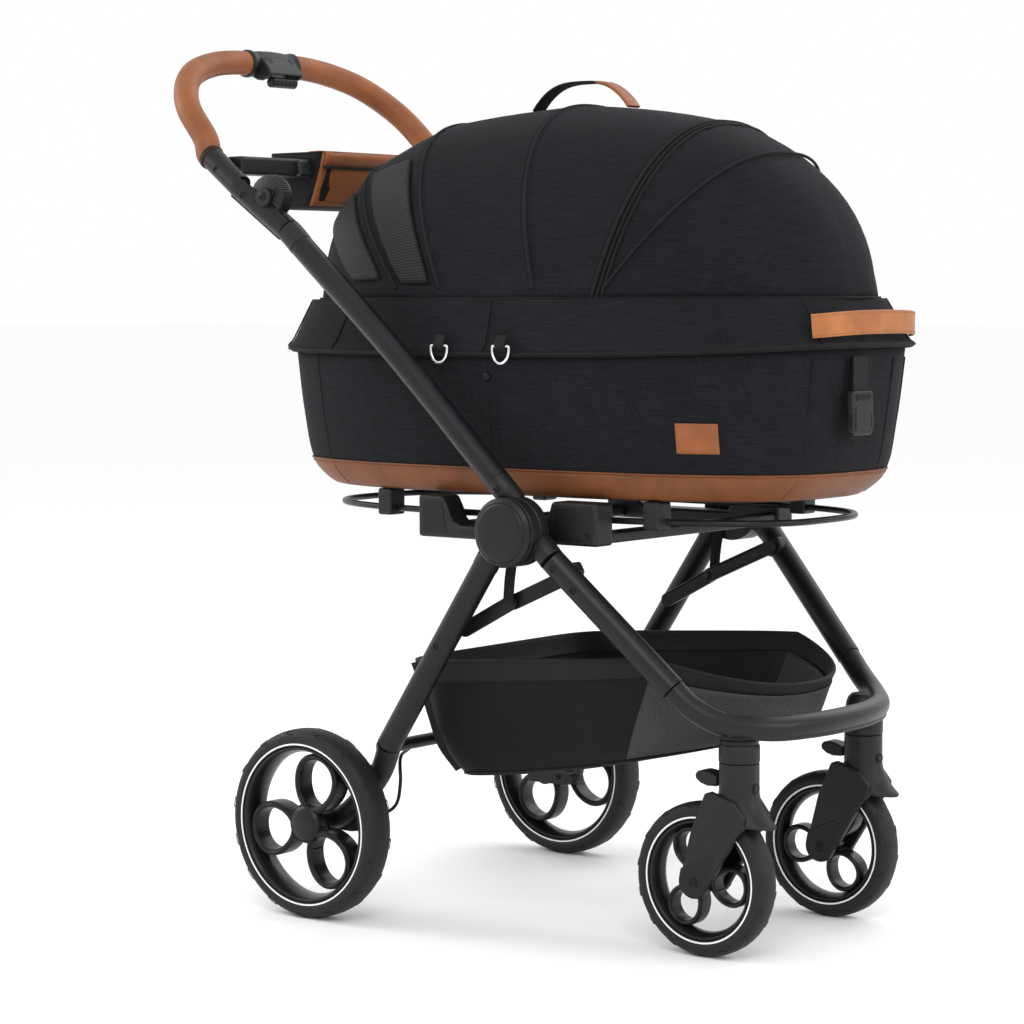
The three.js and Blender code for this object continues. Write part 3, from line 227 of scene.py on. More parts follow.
def frames_along(path, closed=False, up=None):
    """(point, side, up) at each point of a path, turned as little as possible between them."""
    count = len(path)
    ahead = []
    for i in range(count):
        if closed:
            ahead.append((path[(i + 1) % count] - path[i - 1]).normalized())
        else:
            ahead.append((path[min(i + 1, count - 1)] - path[max(i - 1, 0)]).normalized())
    if up is not None:
        sides = [tangent.cross(Vector(up)).normalized() for tangent in ahead]
        return [(p, s, s.cross(t).normalized()) for p, s, t in zip(path, sides, ahead)]
    side = ahead[0].orthogonal().normalized()
    made = []
    for p, tangent in zip(path, ahead):
        side = (side - tangent * side.dot(tangent)).normalized()
        made.append((p, side, tangent.cross(side).normalized()))
    if closed:
        end = ahead[0]
        last = (side - end * side.dot(end)).normalized()
        first = made[0][1]
        twist = math.atan2(last.cross(first).dot(end), last.dot(first))
        made = [
            (p, *(Matrix.Rotation(twist * i / count, 3, t) @ v for v in (s, u)))
            for i, ((p, s, u), t) in enumerate(zip(made, ahead))
        ]
    return made


def circle(radius, sides=28):
    return [
        (radius * math.cos(2 * math.pi * i / sides), radius * math.sin(2 * math.pi * i / sides))
        for i in range(sides)
    ]


def rounded_section(width, height, radius, corner=4):
    """The outline of a flat bar with rounded edges."""
    outline = []
    for cx, cy, start in ((1, 1, 0), (-1, 1, 90), (-1, -1, 180), (1, -1, 270)):
        for k in range(corner + 1):
            turn = math.radians(start + 90 * k / corner)
            outline.append(
                (
                    cx * (width / 2 - radius) + radius * math.cos(turn),
                    cy * (height / 2 - radius) + radius * math.sin(turn)
                )
            )
    return outline


def swept(name, path, section, material, body, slot, closed=False, scale=None, up=None):
    """A bar of a given section along a path, with flat ends unless it is closed."""
    rings = []
    for i, (p, side, over) in enumerate(frames_along(path, closed, up)):
        k = scale(i / (len(path) - 1)) if scale else 1
        rings.append([p + side * (a * k) + over * (b * k) for a, b in section])
    count = len(section)
    points = [p for ring in rings for p in ring]
    levels = len(rings)
    faces = []
    for level in range(levels if closed else levels - 1):
        following = (level + 1) % levels
        for i in range(count):
            j = (i + 1) % count
            faces.append(
                (level * count + i, level * count + j, following * count + j, following * count + i)
            )
    if not closed:
        faces.append(tuple(range(count - 1, -1, -1)))
        faces.append(tuple((levels - 1) * count + i for i in range(count)))
    piece = build(name, points, faces, material, body, slot)
    if not closed:
        sharpen(piece)
    return piece


def sharpen(piece, angle=50):
    """Keeps a crisp edge where two faces meet at more than the angle."""
    shaped = bmesh.new()
    shaped.from_mesh(piece.data)
    for edge in shaped.edges:
        edge.smooth = len(edge.link_faces) != 2 or edge.calc_face_angle() < math.radians(angle)
    shaped.to_mesh(piece.data)
    shaped.free()
    return piece


def tube(name, points, radius, material, body, slot, per_span=8, sides=28, scale=None, closed=False):
    path = smooth_path(points, per_span, closed)
    return swept(name, path, circle(radius, sides), material, body, slot, closed, scale)


def turned(name, profile, centre, material, body, slot, axis="Y", sides=72):
    """A turned piece: profile is (radius, height along the axis) from a centre point."""
    directions = {
        "X": ((0, 1, 0), (0, 0, 1), (1, 0, 0)), "Y": ((1, 0, 0), (0, 0, 1), (0, 1, 0)),
        "Z": ((1, 0, 0), (0, 1, 0), (0, 0, 1))
    }
    a, b, along = (Vector(v) for v in directions[axis])
    points = []
    for radius, height in profile:
        for i in range(sides):
            turn = 2 * math.pi * i / sides
            points.append(
                Vector(centre) + a * radius * math.cos(turn) + b * radius * math.sin(turn) + along * height
            )
    faces = []
    for level in range(len(profile) - 1):
        for i in range(sides):
            j = (i + 1) % sides
            faces.append(
                (level * sides + i, level * sides + j, (level + 1) * sides + j, (level + 1) * sides + i)
            )
    if profile[0] != profile[-1]:
        faces.append(tuple(range(sides - 1, -1, -1)))
        faces.append(tuple((len(profile) - 1) * sides + i for i in range(sides)))
    else:
        last = (len(profile) - 1) * sides
        points = points[:last]
        faces = [tuple(v % last for v in face) for face in faces]
    return sharpen(build(name, points, faces, material, body, slot), 32)


def plate(name, outline, y0, y1, material, body, slot, bevel=0.0015):
    """A flat plate from an outline of (x, z) points, counted from the rear axle."""
    count = len(outline)
    points = [at(x, y, z) for y in (y0, y1) for x, z in outline]
    faces = [tuple(range(count)), tuple(range(2 * count - 1, count - 1, -1))]
    faces += [(i, (i + 1) % count, count + (i + 1) % count, count + i) for i in range(count)]
    return bevelled(build(name, points, faces, material, body, slot), bevel)


def block(name, low, high, material, body, slot, bevel=0.002):
    """A box with eased edges between two corners."""
    corners = [
        Vector((x, y, z)) for x in (low[0], high[0]) for y in (low[1], high[1]) for z in (low[2], high[2])
    ]
    faces = [(0, 1, 3, 2), (4, 6, 7, 5), (0, 4, 5, 1), (2, 3, 7, 6), (0, 2, 6, 4), (1, 5, 7, 3)]
    return bevelled(build(name, corners, faces, material, body, slot), bevel)


def screw(name, centre, outward, radius, body, slot="dark_steel"):
    """A recessed button-head screw: a thin collar, a dished head and its hexagon socket."""
    outward = Vector(outward).normalized()
    side = outward.orthogonal().normalized()
    over = outward.cross(side)
    profile = [
        (radius, -0.0006), (radius, 0.0005), (radius * 0.86, 0.0009), (radius * 0.74, 0.0003),
        (radius * 0.66, 0.0003), (radius * 0.5, 0.0012), (radius * 0.3, 0.0013)
    ]
    points = []
    sides = 24
    for r, h in profile:
        for i in range(sides):
            turn = 2 * math.pi * i / sides
            points.append(
                Vector(centre) + side * r * math.cos(turn) + over * r * math.sin(turn) + outward * h
            )
    for r, h in ((radius * 0.3, -0.0004),):
        for i in range(sides):
            turn = 2 * math.pi * i / sides
            points.append(
                Vector(centre) + side * r * math.cos(turn) + over * r * math.sin(turn) + outward * h
            )
    levels = len(points) // sides
    faces = []
    for level in range(levels - 1):
        for i in range(sides):
            j = (i + 1) % sides
            faces.append(
                (level * sides + i, level * sides + j, (level + 1) * sides + j, (level + 1) * sides + i)
            )
    faces.append(tuple((levels - 1) * sides + i for i in range(sides)))
    faces.append(tuple(range(sides - 1, -1, -1)))
    return sharpen(build(name, points, faces, dark_steel, body, slot), 40)


tube_radius = 0.015
tube_y = 0.2345
hub = (0.3, 0.492)
hub_radius = 0.041
housing_face = 0.2359
knuckle_face = 0.2523
leg_slope = math.radians(56.3)
leg_setback = 0.012


def on_rear_leg(distance):
    """(x, z) on a rear leg's middle line at a distance from the hub."""
    x = hub[0] - distance * math.cos(leg_slope) - leg_setback * math.sin(leg_slope)
    return x, hub[1] - distance * math.sin(leg_slope) + leg_setback * math.cos(leg_slope)


axle_z = (wheel_low.z + wheel_high.z) / 2
casting_y = 0.2245
sides = (("left", 1), ("right", -1))
for side, s in sides:
    knuckle = [
        (0, housing_face + 0.0005), (hub_radius - 0.001, housing_face + 0.0005),
        (hub_radius, housing_face + 0.0015), (hub_radius, knuckle_face - 0.001),
        (hub_radius - 0.001, knuckle_face), (0, knuckle_face)
    ]
    turned(
        f"rear_knuckle_{side}", [(max(r, 1e-5), s * y) for r, y in knuckle], at(hub[0], 0, hub[1]),
        moulding, "rear_legs", "moulded_plastic"
    )
    neck = [on_rear_leg(d) for d in (0.046, 0.06)]
    collar = [at(x, s * tube_y, z) for x, z in neck]
    tube(f"rear_leg_collar_{side}", collar, tube_radius + 0.0006, moulding, "rear_legs", "moulded_plastic")
    stalk = [at(x, s * (knuckle_face - 0.009), z) for x, z in (on_rear_leg(0.026), on_rear_leg(0.0465))]
    tube(f"rear_knuckle_stalk_{side}", stalk, 0.0088, moulding, "rear_legs", "moulded_plastic")
    foot = [on_rear_leg(d) for d in (0.0603, 0.3335)]
    leg = tube(
        f"rear_leg_tube_{side}", [at(x, s * tube_y, z) for x, z in foot], tube_radius, powder_coat,
        "rear_legs", "coated_tube", sides=40
    )
    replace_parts(leg, f"rear_leg_{side}")
    x, z = on_rear_leg(0.178)
    screw(f"rear_leg_screw_{side}", at(x, s * (tube_y + tube_radius), z), (0, s, 0), 0.0045, "rear_legs")

    route = [
        at(x, s * y, z) for x, y,
        z in (
            (0.1055, tube_y, 0.2205), (0.0975, 0.23, 0.2065), (0.0815, casting_y, 0.182),
            (0.053, casting_y, 0.149), (0.02, casting_y, 0.123), (0.0, casting_y, axle_z)
        )
    ]
    casting = tube(
        f"casting_arm_{side}", route, 0.0147, moulding, "rear_legs", "moulded_plastic",
        scale=lambda t: 1 - 0.12 * t
    )
    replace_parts(casting, f"rear_casting_{side}")
    boss = [
        (1e-5, 0.2112), (0.015, 0.2112), (0.017, 0.2132), (0.017, 0.2355), (0.0155, 0.2372),
        (0.0062, 0.2375), (0.006, 0.238), (0.006, 0.262), (1e-5, 0.262)
    ]
    turned(
        f"axle_boss_{side}", [(r, s * y) for r, y in boss], at(0, 0, axle_z), moulding, "rear_legs",
        "moulded_plastic"
    )
    case_end = [
        (-0.024, 0.1035), (0.03, 0.1035), (0.046, 0.106), (0.056, 0.113), (0.057, 0.119), (0.05, 0.1235),
        (0.0, 0.1235), (-0.024, 0.1215)
    ]
    plate(
        f"brake_case_{side}", case_end, s * 0.2057, s * 0.223, moulding, "rear_legs", "moulded_plastic",
        0.003
    )
    screw(f"brake_case_screw_{side}", at(0.03, s * 0.2057, 0.115), (0, -s, 0), 0.0042, "rear_legs")
    turned(
        f"brake_pin_housing_{side}",
        [
            (1e-5, s * 0.205), (0.0068, s * 0.205), (0.0078, s * 0.2066), (0.0078, s * 0.215),
            (1e-5, s * 0.215)
        ],
        at(0.047, 0, 0.1145), dark_moulding, "rear_legs", "dark_plastic", sides=32
    )

# Cross tube and brake cable. A steel tube ties the two castings, and a thin sheathed cable
# clipped behind it takes the pedal's pull to the right wheel.
cross = [at(0.083, y, 0.2136) for y in (-0.219, 0.219)]
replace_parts(tube("cross_tube", cross, 0.008, powder_coat, "rear_legs", "coated_tube"), "rear_cross_tube")
for side, s in sides:
    turned(
        f"cross_tube_socket_{side}",
        [
            (1e-5, s * 0.206), (0.0112, s * 0.206), (0.0122, s * 0.2075), (0.0122, s * 0.2192),
            (1e-5, s * 0.2192)
        ],
        at(0.083, 0, 0.2136), moulding, "rear_legs", "moulded_plastic", sides=40
    )
cable_half = [
    (0.05, 0.2025, 0.1195), (0.082, 0.1975, 0.1375), (0.1, 0.2075, 0.1695), (0.088, 0.1935, 0.1966),
    (0.07, 0.1575, 0.2026), (0.071, 0.1195, 0.2126), (0.071, 0.0695, 0.2136)
]
cable_route = [at(*p) for p in cable_half] + [at(x, -y, z) for x, y, z in reversed(cable_half)]
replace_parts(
    tube("cable_sheath", cable_route, 0.0022, dark_moulding, "rear_legs", "dark_plastic", sides=12),
    "brake_cable"
)
for side, s in sides:
    clip = [
        at(x, s * 0.085, z) for x, z in ((0.0665, 0.2136), (0.07, 0.22), (0.083, 0.2226), (0.0925, 0.216))
    ]
    swept(
        f"cable_clip_{side}", smooth_path(clip), rounded_section(0.0012, 0.009, 0.0004), dark_moulding,
        "rear_legs", "dark_plastic", up=(0, 1, 0)
    )

# Brake pedal. One moulded rocker with a ribbed tread hangs on the left casting.
pedal_outline = [
    (-0.0225, 0.129), (-0.027, 0.1385), (-0.066, 0.1428), (-0.084, 0.1372), (-0.0845, 0.1318),
    (-0.064, 0.133), (-0.038, 0.1255)
]
pedal = plate(
    "pedal_rocker", pedal_outline, 0.1755, 0.2267, dark_moulding, "brake_pedal", "dark_plastic", 0.0022
)
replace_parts(pedal, "brake_pedal")
for i in range(4):
    x = -0.078 + 0.01 * i
    rib = [at(x, y, 0.1412 - 0.0016 * abs(i - 2)) for y in (0.18, 0.2225)]
    tube(f"pedal_rib_{i}", rib, 0.0011, dark_moulding, "brake_pedal", "dark_plastic", sides=10)

# Rear wheels. Each has a foamed rubber tyre with a printed reflective ring, on a glossy moulded
# rim whose three hollow spokes are open loops between the dished barrel and a domed hub.
rubber = grained("tyre_rubber", (0.0098, 0.0102, 0.0115), 0.56, 0.3, 1100, mottle=0.1)
rim_plastic = grained("rim_plastic", (0.0062, 0.0065, 0.0076), 0.32, 0.12, 900)
reflective = grained("reflective_print", (0.82, 0.83, 0.85), 0.35, 0.2, 1600, mottle=0.04)


def ring_profile(half):
    """Mirrors a profile given for the positive side, and closes it."""
    return half + [(r, -h) for r, h in reversed(half)] + [half[0]]


def wheel(name, centre, radius, width, seat, turn_degrees, body, tyre_node, rim_node, hub_radius, outward):
    x, y, z = centre
    half = width / 2
    shoulder = radius - seat
    tyre_half = [
        (seat, half - 0.0024), (seat + 0.0006, half - 0.0012), (seat + 0.0018, half - 0.001),
        (seat + 0.0042, half - 0.0008), (seat + 0.0052, half - 0.0002), (seat + shoulder * 0.45, half),
        (seat + shoulder * 0.62, half - 0.0006), (seat + shoulder * 0.76, half - 0.0024),
        (seat + shoulder * 0.87, half * 0.74),
        (seat + shoulder * 0.95, half * 0.55), (seat + shoulder * 0.99, half * 0.3), (radius, half * 0.08),
    ]
    tyre = turned(f"tyre_{name}", ring_profile(tyre_half), centre, rubber, body, "tyre_rubber", sides=120)
    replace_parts(tyre, tyre_node)
    for face in (-1, 1):
        lap = face * (half - 0.001)
        band = [
            (seat + 0.0016, lap), (seat + 0.0019, lap + face * 0.0004),
            (seat + 0.0035, lap + face * 0.0004), (seat + 0.0038, lap), (seat + 0.0016, lap)
        ]
        turned(
            f"reflective_ring_{name}_{'outer' if face == outward else 'inner'}", band, centre, reflective,
            body, "rim_plastic", sides=120
        )
    sipes = 30
    for i in range(sipes):
        turn = 2 * math.pi * i / sipes
        path = []
        for k in range(7):
            t = k / 6
            r = seat + shoulder * (0.74 + 0.21 * t)
            a = turn + 0.1 * math.sin(math.pi * t) + 0.05 * t
            h = half * (0.93 - 0.42 * t * t)
            path.append(
                Vector(
                    (
                        x + (r + 0.0002) * math.cos(a), y + (1 if i % 2 else -1) * h,
                        z + (r + 0.0002) * math.sin(a)
                    )
                )
            )
        tube(f"tread_mark_{name}_{i}", path, 0.0005, rubber, body, "tyre_rubber", per_span=2, sides=6)
    seat -= 0.0004
    barrel_half = [
        (seat, half - 0.003), (seat - 0.0008, half - 0.0022), (seat - 0.0028, half - 0.0022),
        (seat - 0.0036, half - 0.003),
        (seat - 0.005, half - 0.006), (seat - 0.0066, half * 0.5), (seat - 0.0078, half * 0.25),
        (seat - 0.0082, half * 0.02),
    ]
    barrel = turned(
        f"rim_{name}", ring_profile(barrel_half), centre, rim_plastic, body, "rim_plastic", sides=120
    )
    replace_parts(barrel, rim_node)
    inside = seat - 0.0075
    middle = (hub_radius + inside) / 2 - 0.0005
    reach = (inside - hub_radius) / 2 - 0.001
    for spoke in range(3):
        lean = math.radians(turn_degrees + 120 * spoke)
        along, across = (
            Vector((math.cos(lean), 0, math.sin(lean))), Vector((-math.sin(lean), 0, math.cos(lean)))
        )
        loop = []
        for k in range(40):
            t = 2 * math.pi * k / 40
            r = middle + reach * math.cos(t)
            w = reach * 0.89 * math.sin(t) * (1 + 0.14 * math.cos(t))
            loop.append(centre + along * r + across * w)
        deep = half * 0.6
        swept(
            f"spoke_loop_{name}_{spoke}", loop, rounded_section(0.0078 * radius / 0.1175, 2 * deep, 0.0018),
            rim_plastic, body, "rim_plastic", closed=True, up=(0, 1, 0)
        )
        for face in (-1, 1):
            bead = [p + Vector((0, face * (deep - 0.0004), 0)) for p in loop]
            swept(
                f"spoke_bead_{name}_{spoke}_{'outer' if face == outward else 'inner'}", bead,
                circle(0.0021, 10), rim_plastic, body, "rim_plastic", closed=True, up=(0, 1, 0)
            )
        for way in (-1, 1):
            web = [
                centre + along * (hub_radius * 0.3) + across * way * hub_radius * 0.5,
                centre + along * (hub_radius + reach * 0.32) + across * way * reach * 0.46
            ]
            swept(
                f"spoke_web_{name}_{spoke}_{'left' if way > 0 else 'right'}", web,
                rounded_section(0.005, 2 * deep * 0.8, 0.0016), rim_plastic, body, "rim_plastic",
                up=(0, 1, 0)
            )


rear_radius = axle_z
rear_width = wheel_high.y - wheel_low.y
rear_seat = rear_radius - 0.0205
for side, s in sides:
    centre = at(0, s * 0.2605, axle_z)
    wheel(
        f"rear_{side}", centre, rear_radius, rear_width, rear_seat, 72 if s < 0 else 108,
        f"rear_wheel_{side}", f"rear_tyre_{side}", f"rear_rim_{side}", 0.0195, s
    )
    hub_shape = [
        (1e-5, -0.0195), (0.0165, -0.0195), (0.0195, -0.0175), (0.0235, -0.004), (0.0252, 0.004),
        (0.025, 0.009), (0.0232, 0.0135), (0.019, 0.017), (0.012, 0.019), (1e-5, 0.0198)
    ]
    turned(
        f"wheel_hub_rear_{side}", [(r, s * h) for r, h in hub_shape], centre, rim_plastic,
        f"rear_wheel_{side}", "rim_plastic", sides=64
    )

# Hubs. The upper tube, the front leg and the rear leg meet at two flat moulded discs that turn
# on one pin, under a plain round cover with a chamfered edge and a fine groove.
upper_foot = (0.276, 0.551)
leg_seam = (0.354, 0.462)
for side, s in sides:
    disc = [
        (1e-5, 0.22), (hub_radius - 0.001, 0.22), (hub_radius, 0.221), (hub_radius, housing_face - 0.001),
        (hub_radius - 0.001, housing_face), (1e-5, housing_face)
    ]
    housing = turned(
        f"hub_disc_{side}", [(r, s * y) for r, y in disc], at(hub[0], 0, hub[1]), moulding, "frame",
        "moulded_plastic"
    )
    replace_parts(housing, f"hub_housing_{side}")
    route = [
        at(0.2765, s * tube_y, 0.5505), at(0.283, s * tube_y, 0.544), at(0.2945, s * 0.2285, 0.529),
        at(0.3, s * 0.227, 0.518)
    ]
    tube(
        f"hub_collar_upper_{side}", route, 0.0152, moulding, "frame", "moulded_plastic",
        scale=lambda t: 1 - 0.36 * max(0, t - 0.45)
    )
    route = [
        at(leg_seam[0], s * 0.2325, leg_seam[1]), at(0.342, s * 0.2315, 0.4735),
        at(0.333, s * 0.2275, 0.48), at(0.322, s * 0.2265, 0.487)
    ]
    tube(
        f"hub_collar_leg_{side}", route, 0.0152, moulding, "frame", "moulded_plastic",
        scale=lambda t: 1 - 0.36 * max(0, t - 0.45)
    )
    cover = [
        (1e-5, 0.2527), (0.04, 0.2527), (0.041, 0.2535), (0.041, 0.2572), (0.0402, 0.258), (0.0376, 0.2612),
        (0.036, 0.2618), (0.0354, 0.2614),
        (0.035, 0.2614), (0.0344, 0.2622), (0.0325, 0.2636), (0.03, 0.264), (0.015, 0.2642), (1e-5, 0.2642),
    ]
    disc = turned(
        f"hub_cap_{side}", [(r, s * y) for r, y in cover], at(hub[0], 0, hub[1]), dark_moulding, "frame",
        "dark_plastic", sides=96
    )
    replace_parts(disc, f"hub_cover_{side}")
    screw(f"hub_leg_screw_{side}", at(0.3395, s * 0.2466, 0.4765), (0, s, 0), 0.0046, "frame")
    screw(f"hub_tube_screw_{side}", at(0.285, s * 0.2492, 0.542), (0, s, 0), 0.0046, "frame")

# Upper tubes. A powder-coated tube runs up each side from the hub to the handle's hinge, bowed
# very slightly.
hinge = (-0.085, 0.891)
arm_slope = math.radians(34.3)


def on_arm(along, offset=0.0):
    """(x, z) along the handle's arm, counted down and forward from the hinge."""
    away = offset - 0.017
    return (
        hinge[0] + along * math.cos(arm_slope) + away * math.sin(arm_slope), hinge[1] - along
        * math.sin(arm_slope) + away * math.cos(arm_slope)
    )


collar_start = on_arm(0.05)
collar_end = (collar_start[0] + 0.02, collar_start[1] - 0.018)
run = math.hypot(upper_foot[0] - collar_end[0], upper_foot[1] - collar_end[1])
middle = (
    (collar_end[0] + upper_foot[0]) / 2 + 0.0045 * (collar_end[1] - upper_foot[1]) / run,
    (collar_end[1] + upper_foot[1]) / 2 + 0.0045 * (upper_foot[0] - collar_end[0]) / run,
)
for side, s in sides:
    route = [
        at(x, s * tube_y, z) for x,
        z in ((collar_end[0] + 0.0004, collar_end[1] - 0.0004), middle, upper_foot)
    ]
    upper = tube(
        f"side_tube_{side}", route, tube_radius, powder_coat, "frame", "coated_tube", per_span=14, sides=48
    )
    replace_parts(upper, f"upper_tube_{side}")

# Front legs and front bar. The legs are straight tubes that run in to a bent U-shaped bar, and
# the bar carries a stub and a ring over each caster.
bar_neck = (0.497, 0.192, 0.318)
for side, s in sides:
    route = [at(0.3548, s * 0.2321, 0.4612), at(bar_neck[0], s * bar_neck[1], bar_neck[2])]
    leg = tube(f"leg_tube_{side}", route, tube_radius, powder_coat, "frame", "coated_tube", sides=48)
    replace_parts(leg, f"front_leg_{side}")
    along = (route[1] - route[0]).normalized()
    out = Vector((0, s, 0)) - along * along.y * s
    out.normalize()
    for i, share in enumerate((0.05, 0.22)):
        screw(
            f"leg_screw_{side}_{i}", route[0].lerp(route[1], share) + out * tube_radius, out, 0.0044,
            "frame"
        )
    bracket = [(0.356, 0.442), (0.364, 0.456), (0.379, 0.46), (0.386, 0.448), (0.38, 0.436), (0.366, 0.433)]
    plate(
        f"leg_bracket_{side}", bracket, s * 0.2085, s * 0.226, moulding, "frame", "moulded_plastic", 0.003
    )
    turned(
        f"leg_bracket_pin_{side}",
        [(1e-5, s * 0.2035), (0.004, s * 0.2035), (0.004, s * 0.2087), (1e-5, s * 0.2087)],
        at(0.37, 0, 0.446), dark_steel, "frame", "dark_steel", sides=24
    )

bar_half = [
    (0.498, 0.1917, 0.317), (0.519, 0.184, 0.297), (0.549, 0.165, 0.279), (0.582, 0.122, 0.272),
    (0.601, 0.065, 0.271), (0.607, 0, 0.271)
]
bar_route = [at(*p) for p in bar_half] + [at(x, -y, z) for x, y, z in reversed(bar_half[:-1])]
bar = tube("front_bar_tube", bar_route, 0.014, powder_coat, "frame", "coated_tube", per_span=10, sides=48)
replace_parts(bar, "front_bar")
trim = [at(x + 0.0035, y, z - 0.0103) for x, y, z in bar_half[2:]] + [
    at(x + 0.0035, -y, z - 0.0103) for x, y, z in reversed(bar_half[2:-1])
]
swept(
    "front_bar_trim", smooth_path(trim, 10), rounded_section(0.015, 0.008, 0.003), moulding, "frame",
    "moulded_plastic", up=(0, 0, 1)
)
caster_x = 0.5523
caster_y = 0.137
for side, s in sides:
    neck = [
        (1e-5, 0.2594), (0.0212, 0.2594), (0.022, 0.2604), (0.022, 0.266), (0.0212, 0.272), (0.019, 0.2775),
        (0.015, 0.2815), (1e-5, 0.283)
    ]
    turned(
        f"caster_neck_{side}", neck, at(caster_x, s * caster_y, 0), moulding, "frame", "moulded_plastic",
        axis="Z"
    )
    spigot = [
        (1e-5, 0.2322), (0.023, 0.2322), (0.0239, 0.233), (0.0239, 0.2512), (0.0232, 0.2526),
        (0.0219, 0.2532), (0.0219, 0.2586), (0.0214, 0.259), (1e-5, 0.259),
    ]
    ring = turned(
        f"caster_collar_{side}", spigot, at(caster_x, s * caster_y, 0), moulding, "frame",
        "moulded_plastic", axis="Z"
    )
    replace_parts(ring, f"caster_socket_{side}")
    band = [
        (0.0221, 0.2538), (0.0224, 0.2541), (0.0224, 0.258), (0.0221, 0.2583), (0.0216, 0.2583),
        (0.0216, 0.2538), (0.0221, 0.2538)
    ]
    turned(
        f"caster_bush_{side}", band, at(caster_x, s * caster_y, 0), dark_steel, "frame", "dark_steel",
        axis="Z"
    )

# Casters. Each is one moulded fork on a round stem, with two cheeks down to the axle bolt, a
# flared mudguard lip in front, a tab that locks the swivel and a button that frees the wheel.
trail = 0.0455
front_z = 0.0908
front_x = caster_x - trail
slot_half = 0.0193
cheek_outer = 0.0288
cheek = []
for degrees in range(190, 320, 10):
    turn = math.radians(degrees)
    cheek.append((front_x + 0.02 * math.cos(turn), front_z + 0.02 * math.sin(turn)))
cheek_top = [
    (-0.014, 0.1048), (0.012, 0.1468), (0.0235, 0.16), (0.025, 0.172), (0.01, 0.19), (-0.0225, 0.1985),
    (-0.03, 0.196), (-0.038, 0.1755), (-0.048, 0.1535)
]


def arc_height(x):
    """Height of the room over the tyre at a distance ahead of the swivel axis."""
    reach = 0.0958**2 - (x + trail) ** 2
    return front_z + math.sqrt(max(reach, 0))


def ring_mesh(rings):
    """Points and faces of a closed form over rings of points."""
    count = len(rings[0])
    points = [p for ring in rings for p in ring]
    faces = [tuple(range(count - 1, -1, -1)), tuple((len(rings) - 1) * count + i for i in range(count))]
    for level in range(len(rings) - 1):
        for i in range(count):
            j = (i + 1) % count
            faces.append(
                (level * count + i, level * count + j, (level + 1) * count + j, (level + 1) * count + i)
            )
    return points, faces


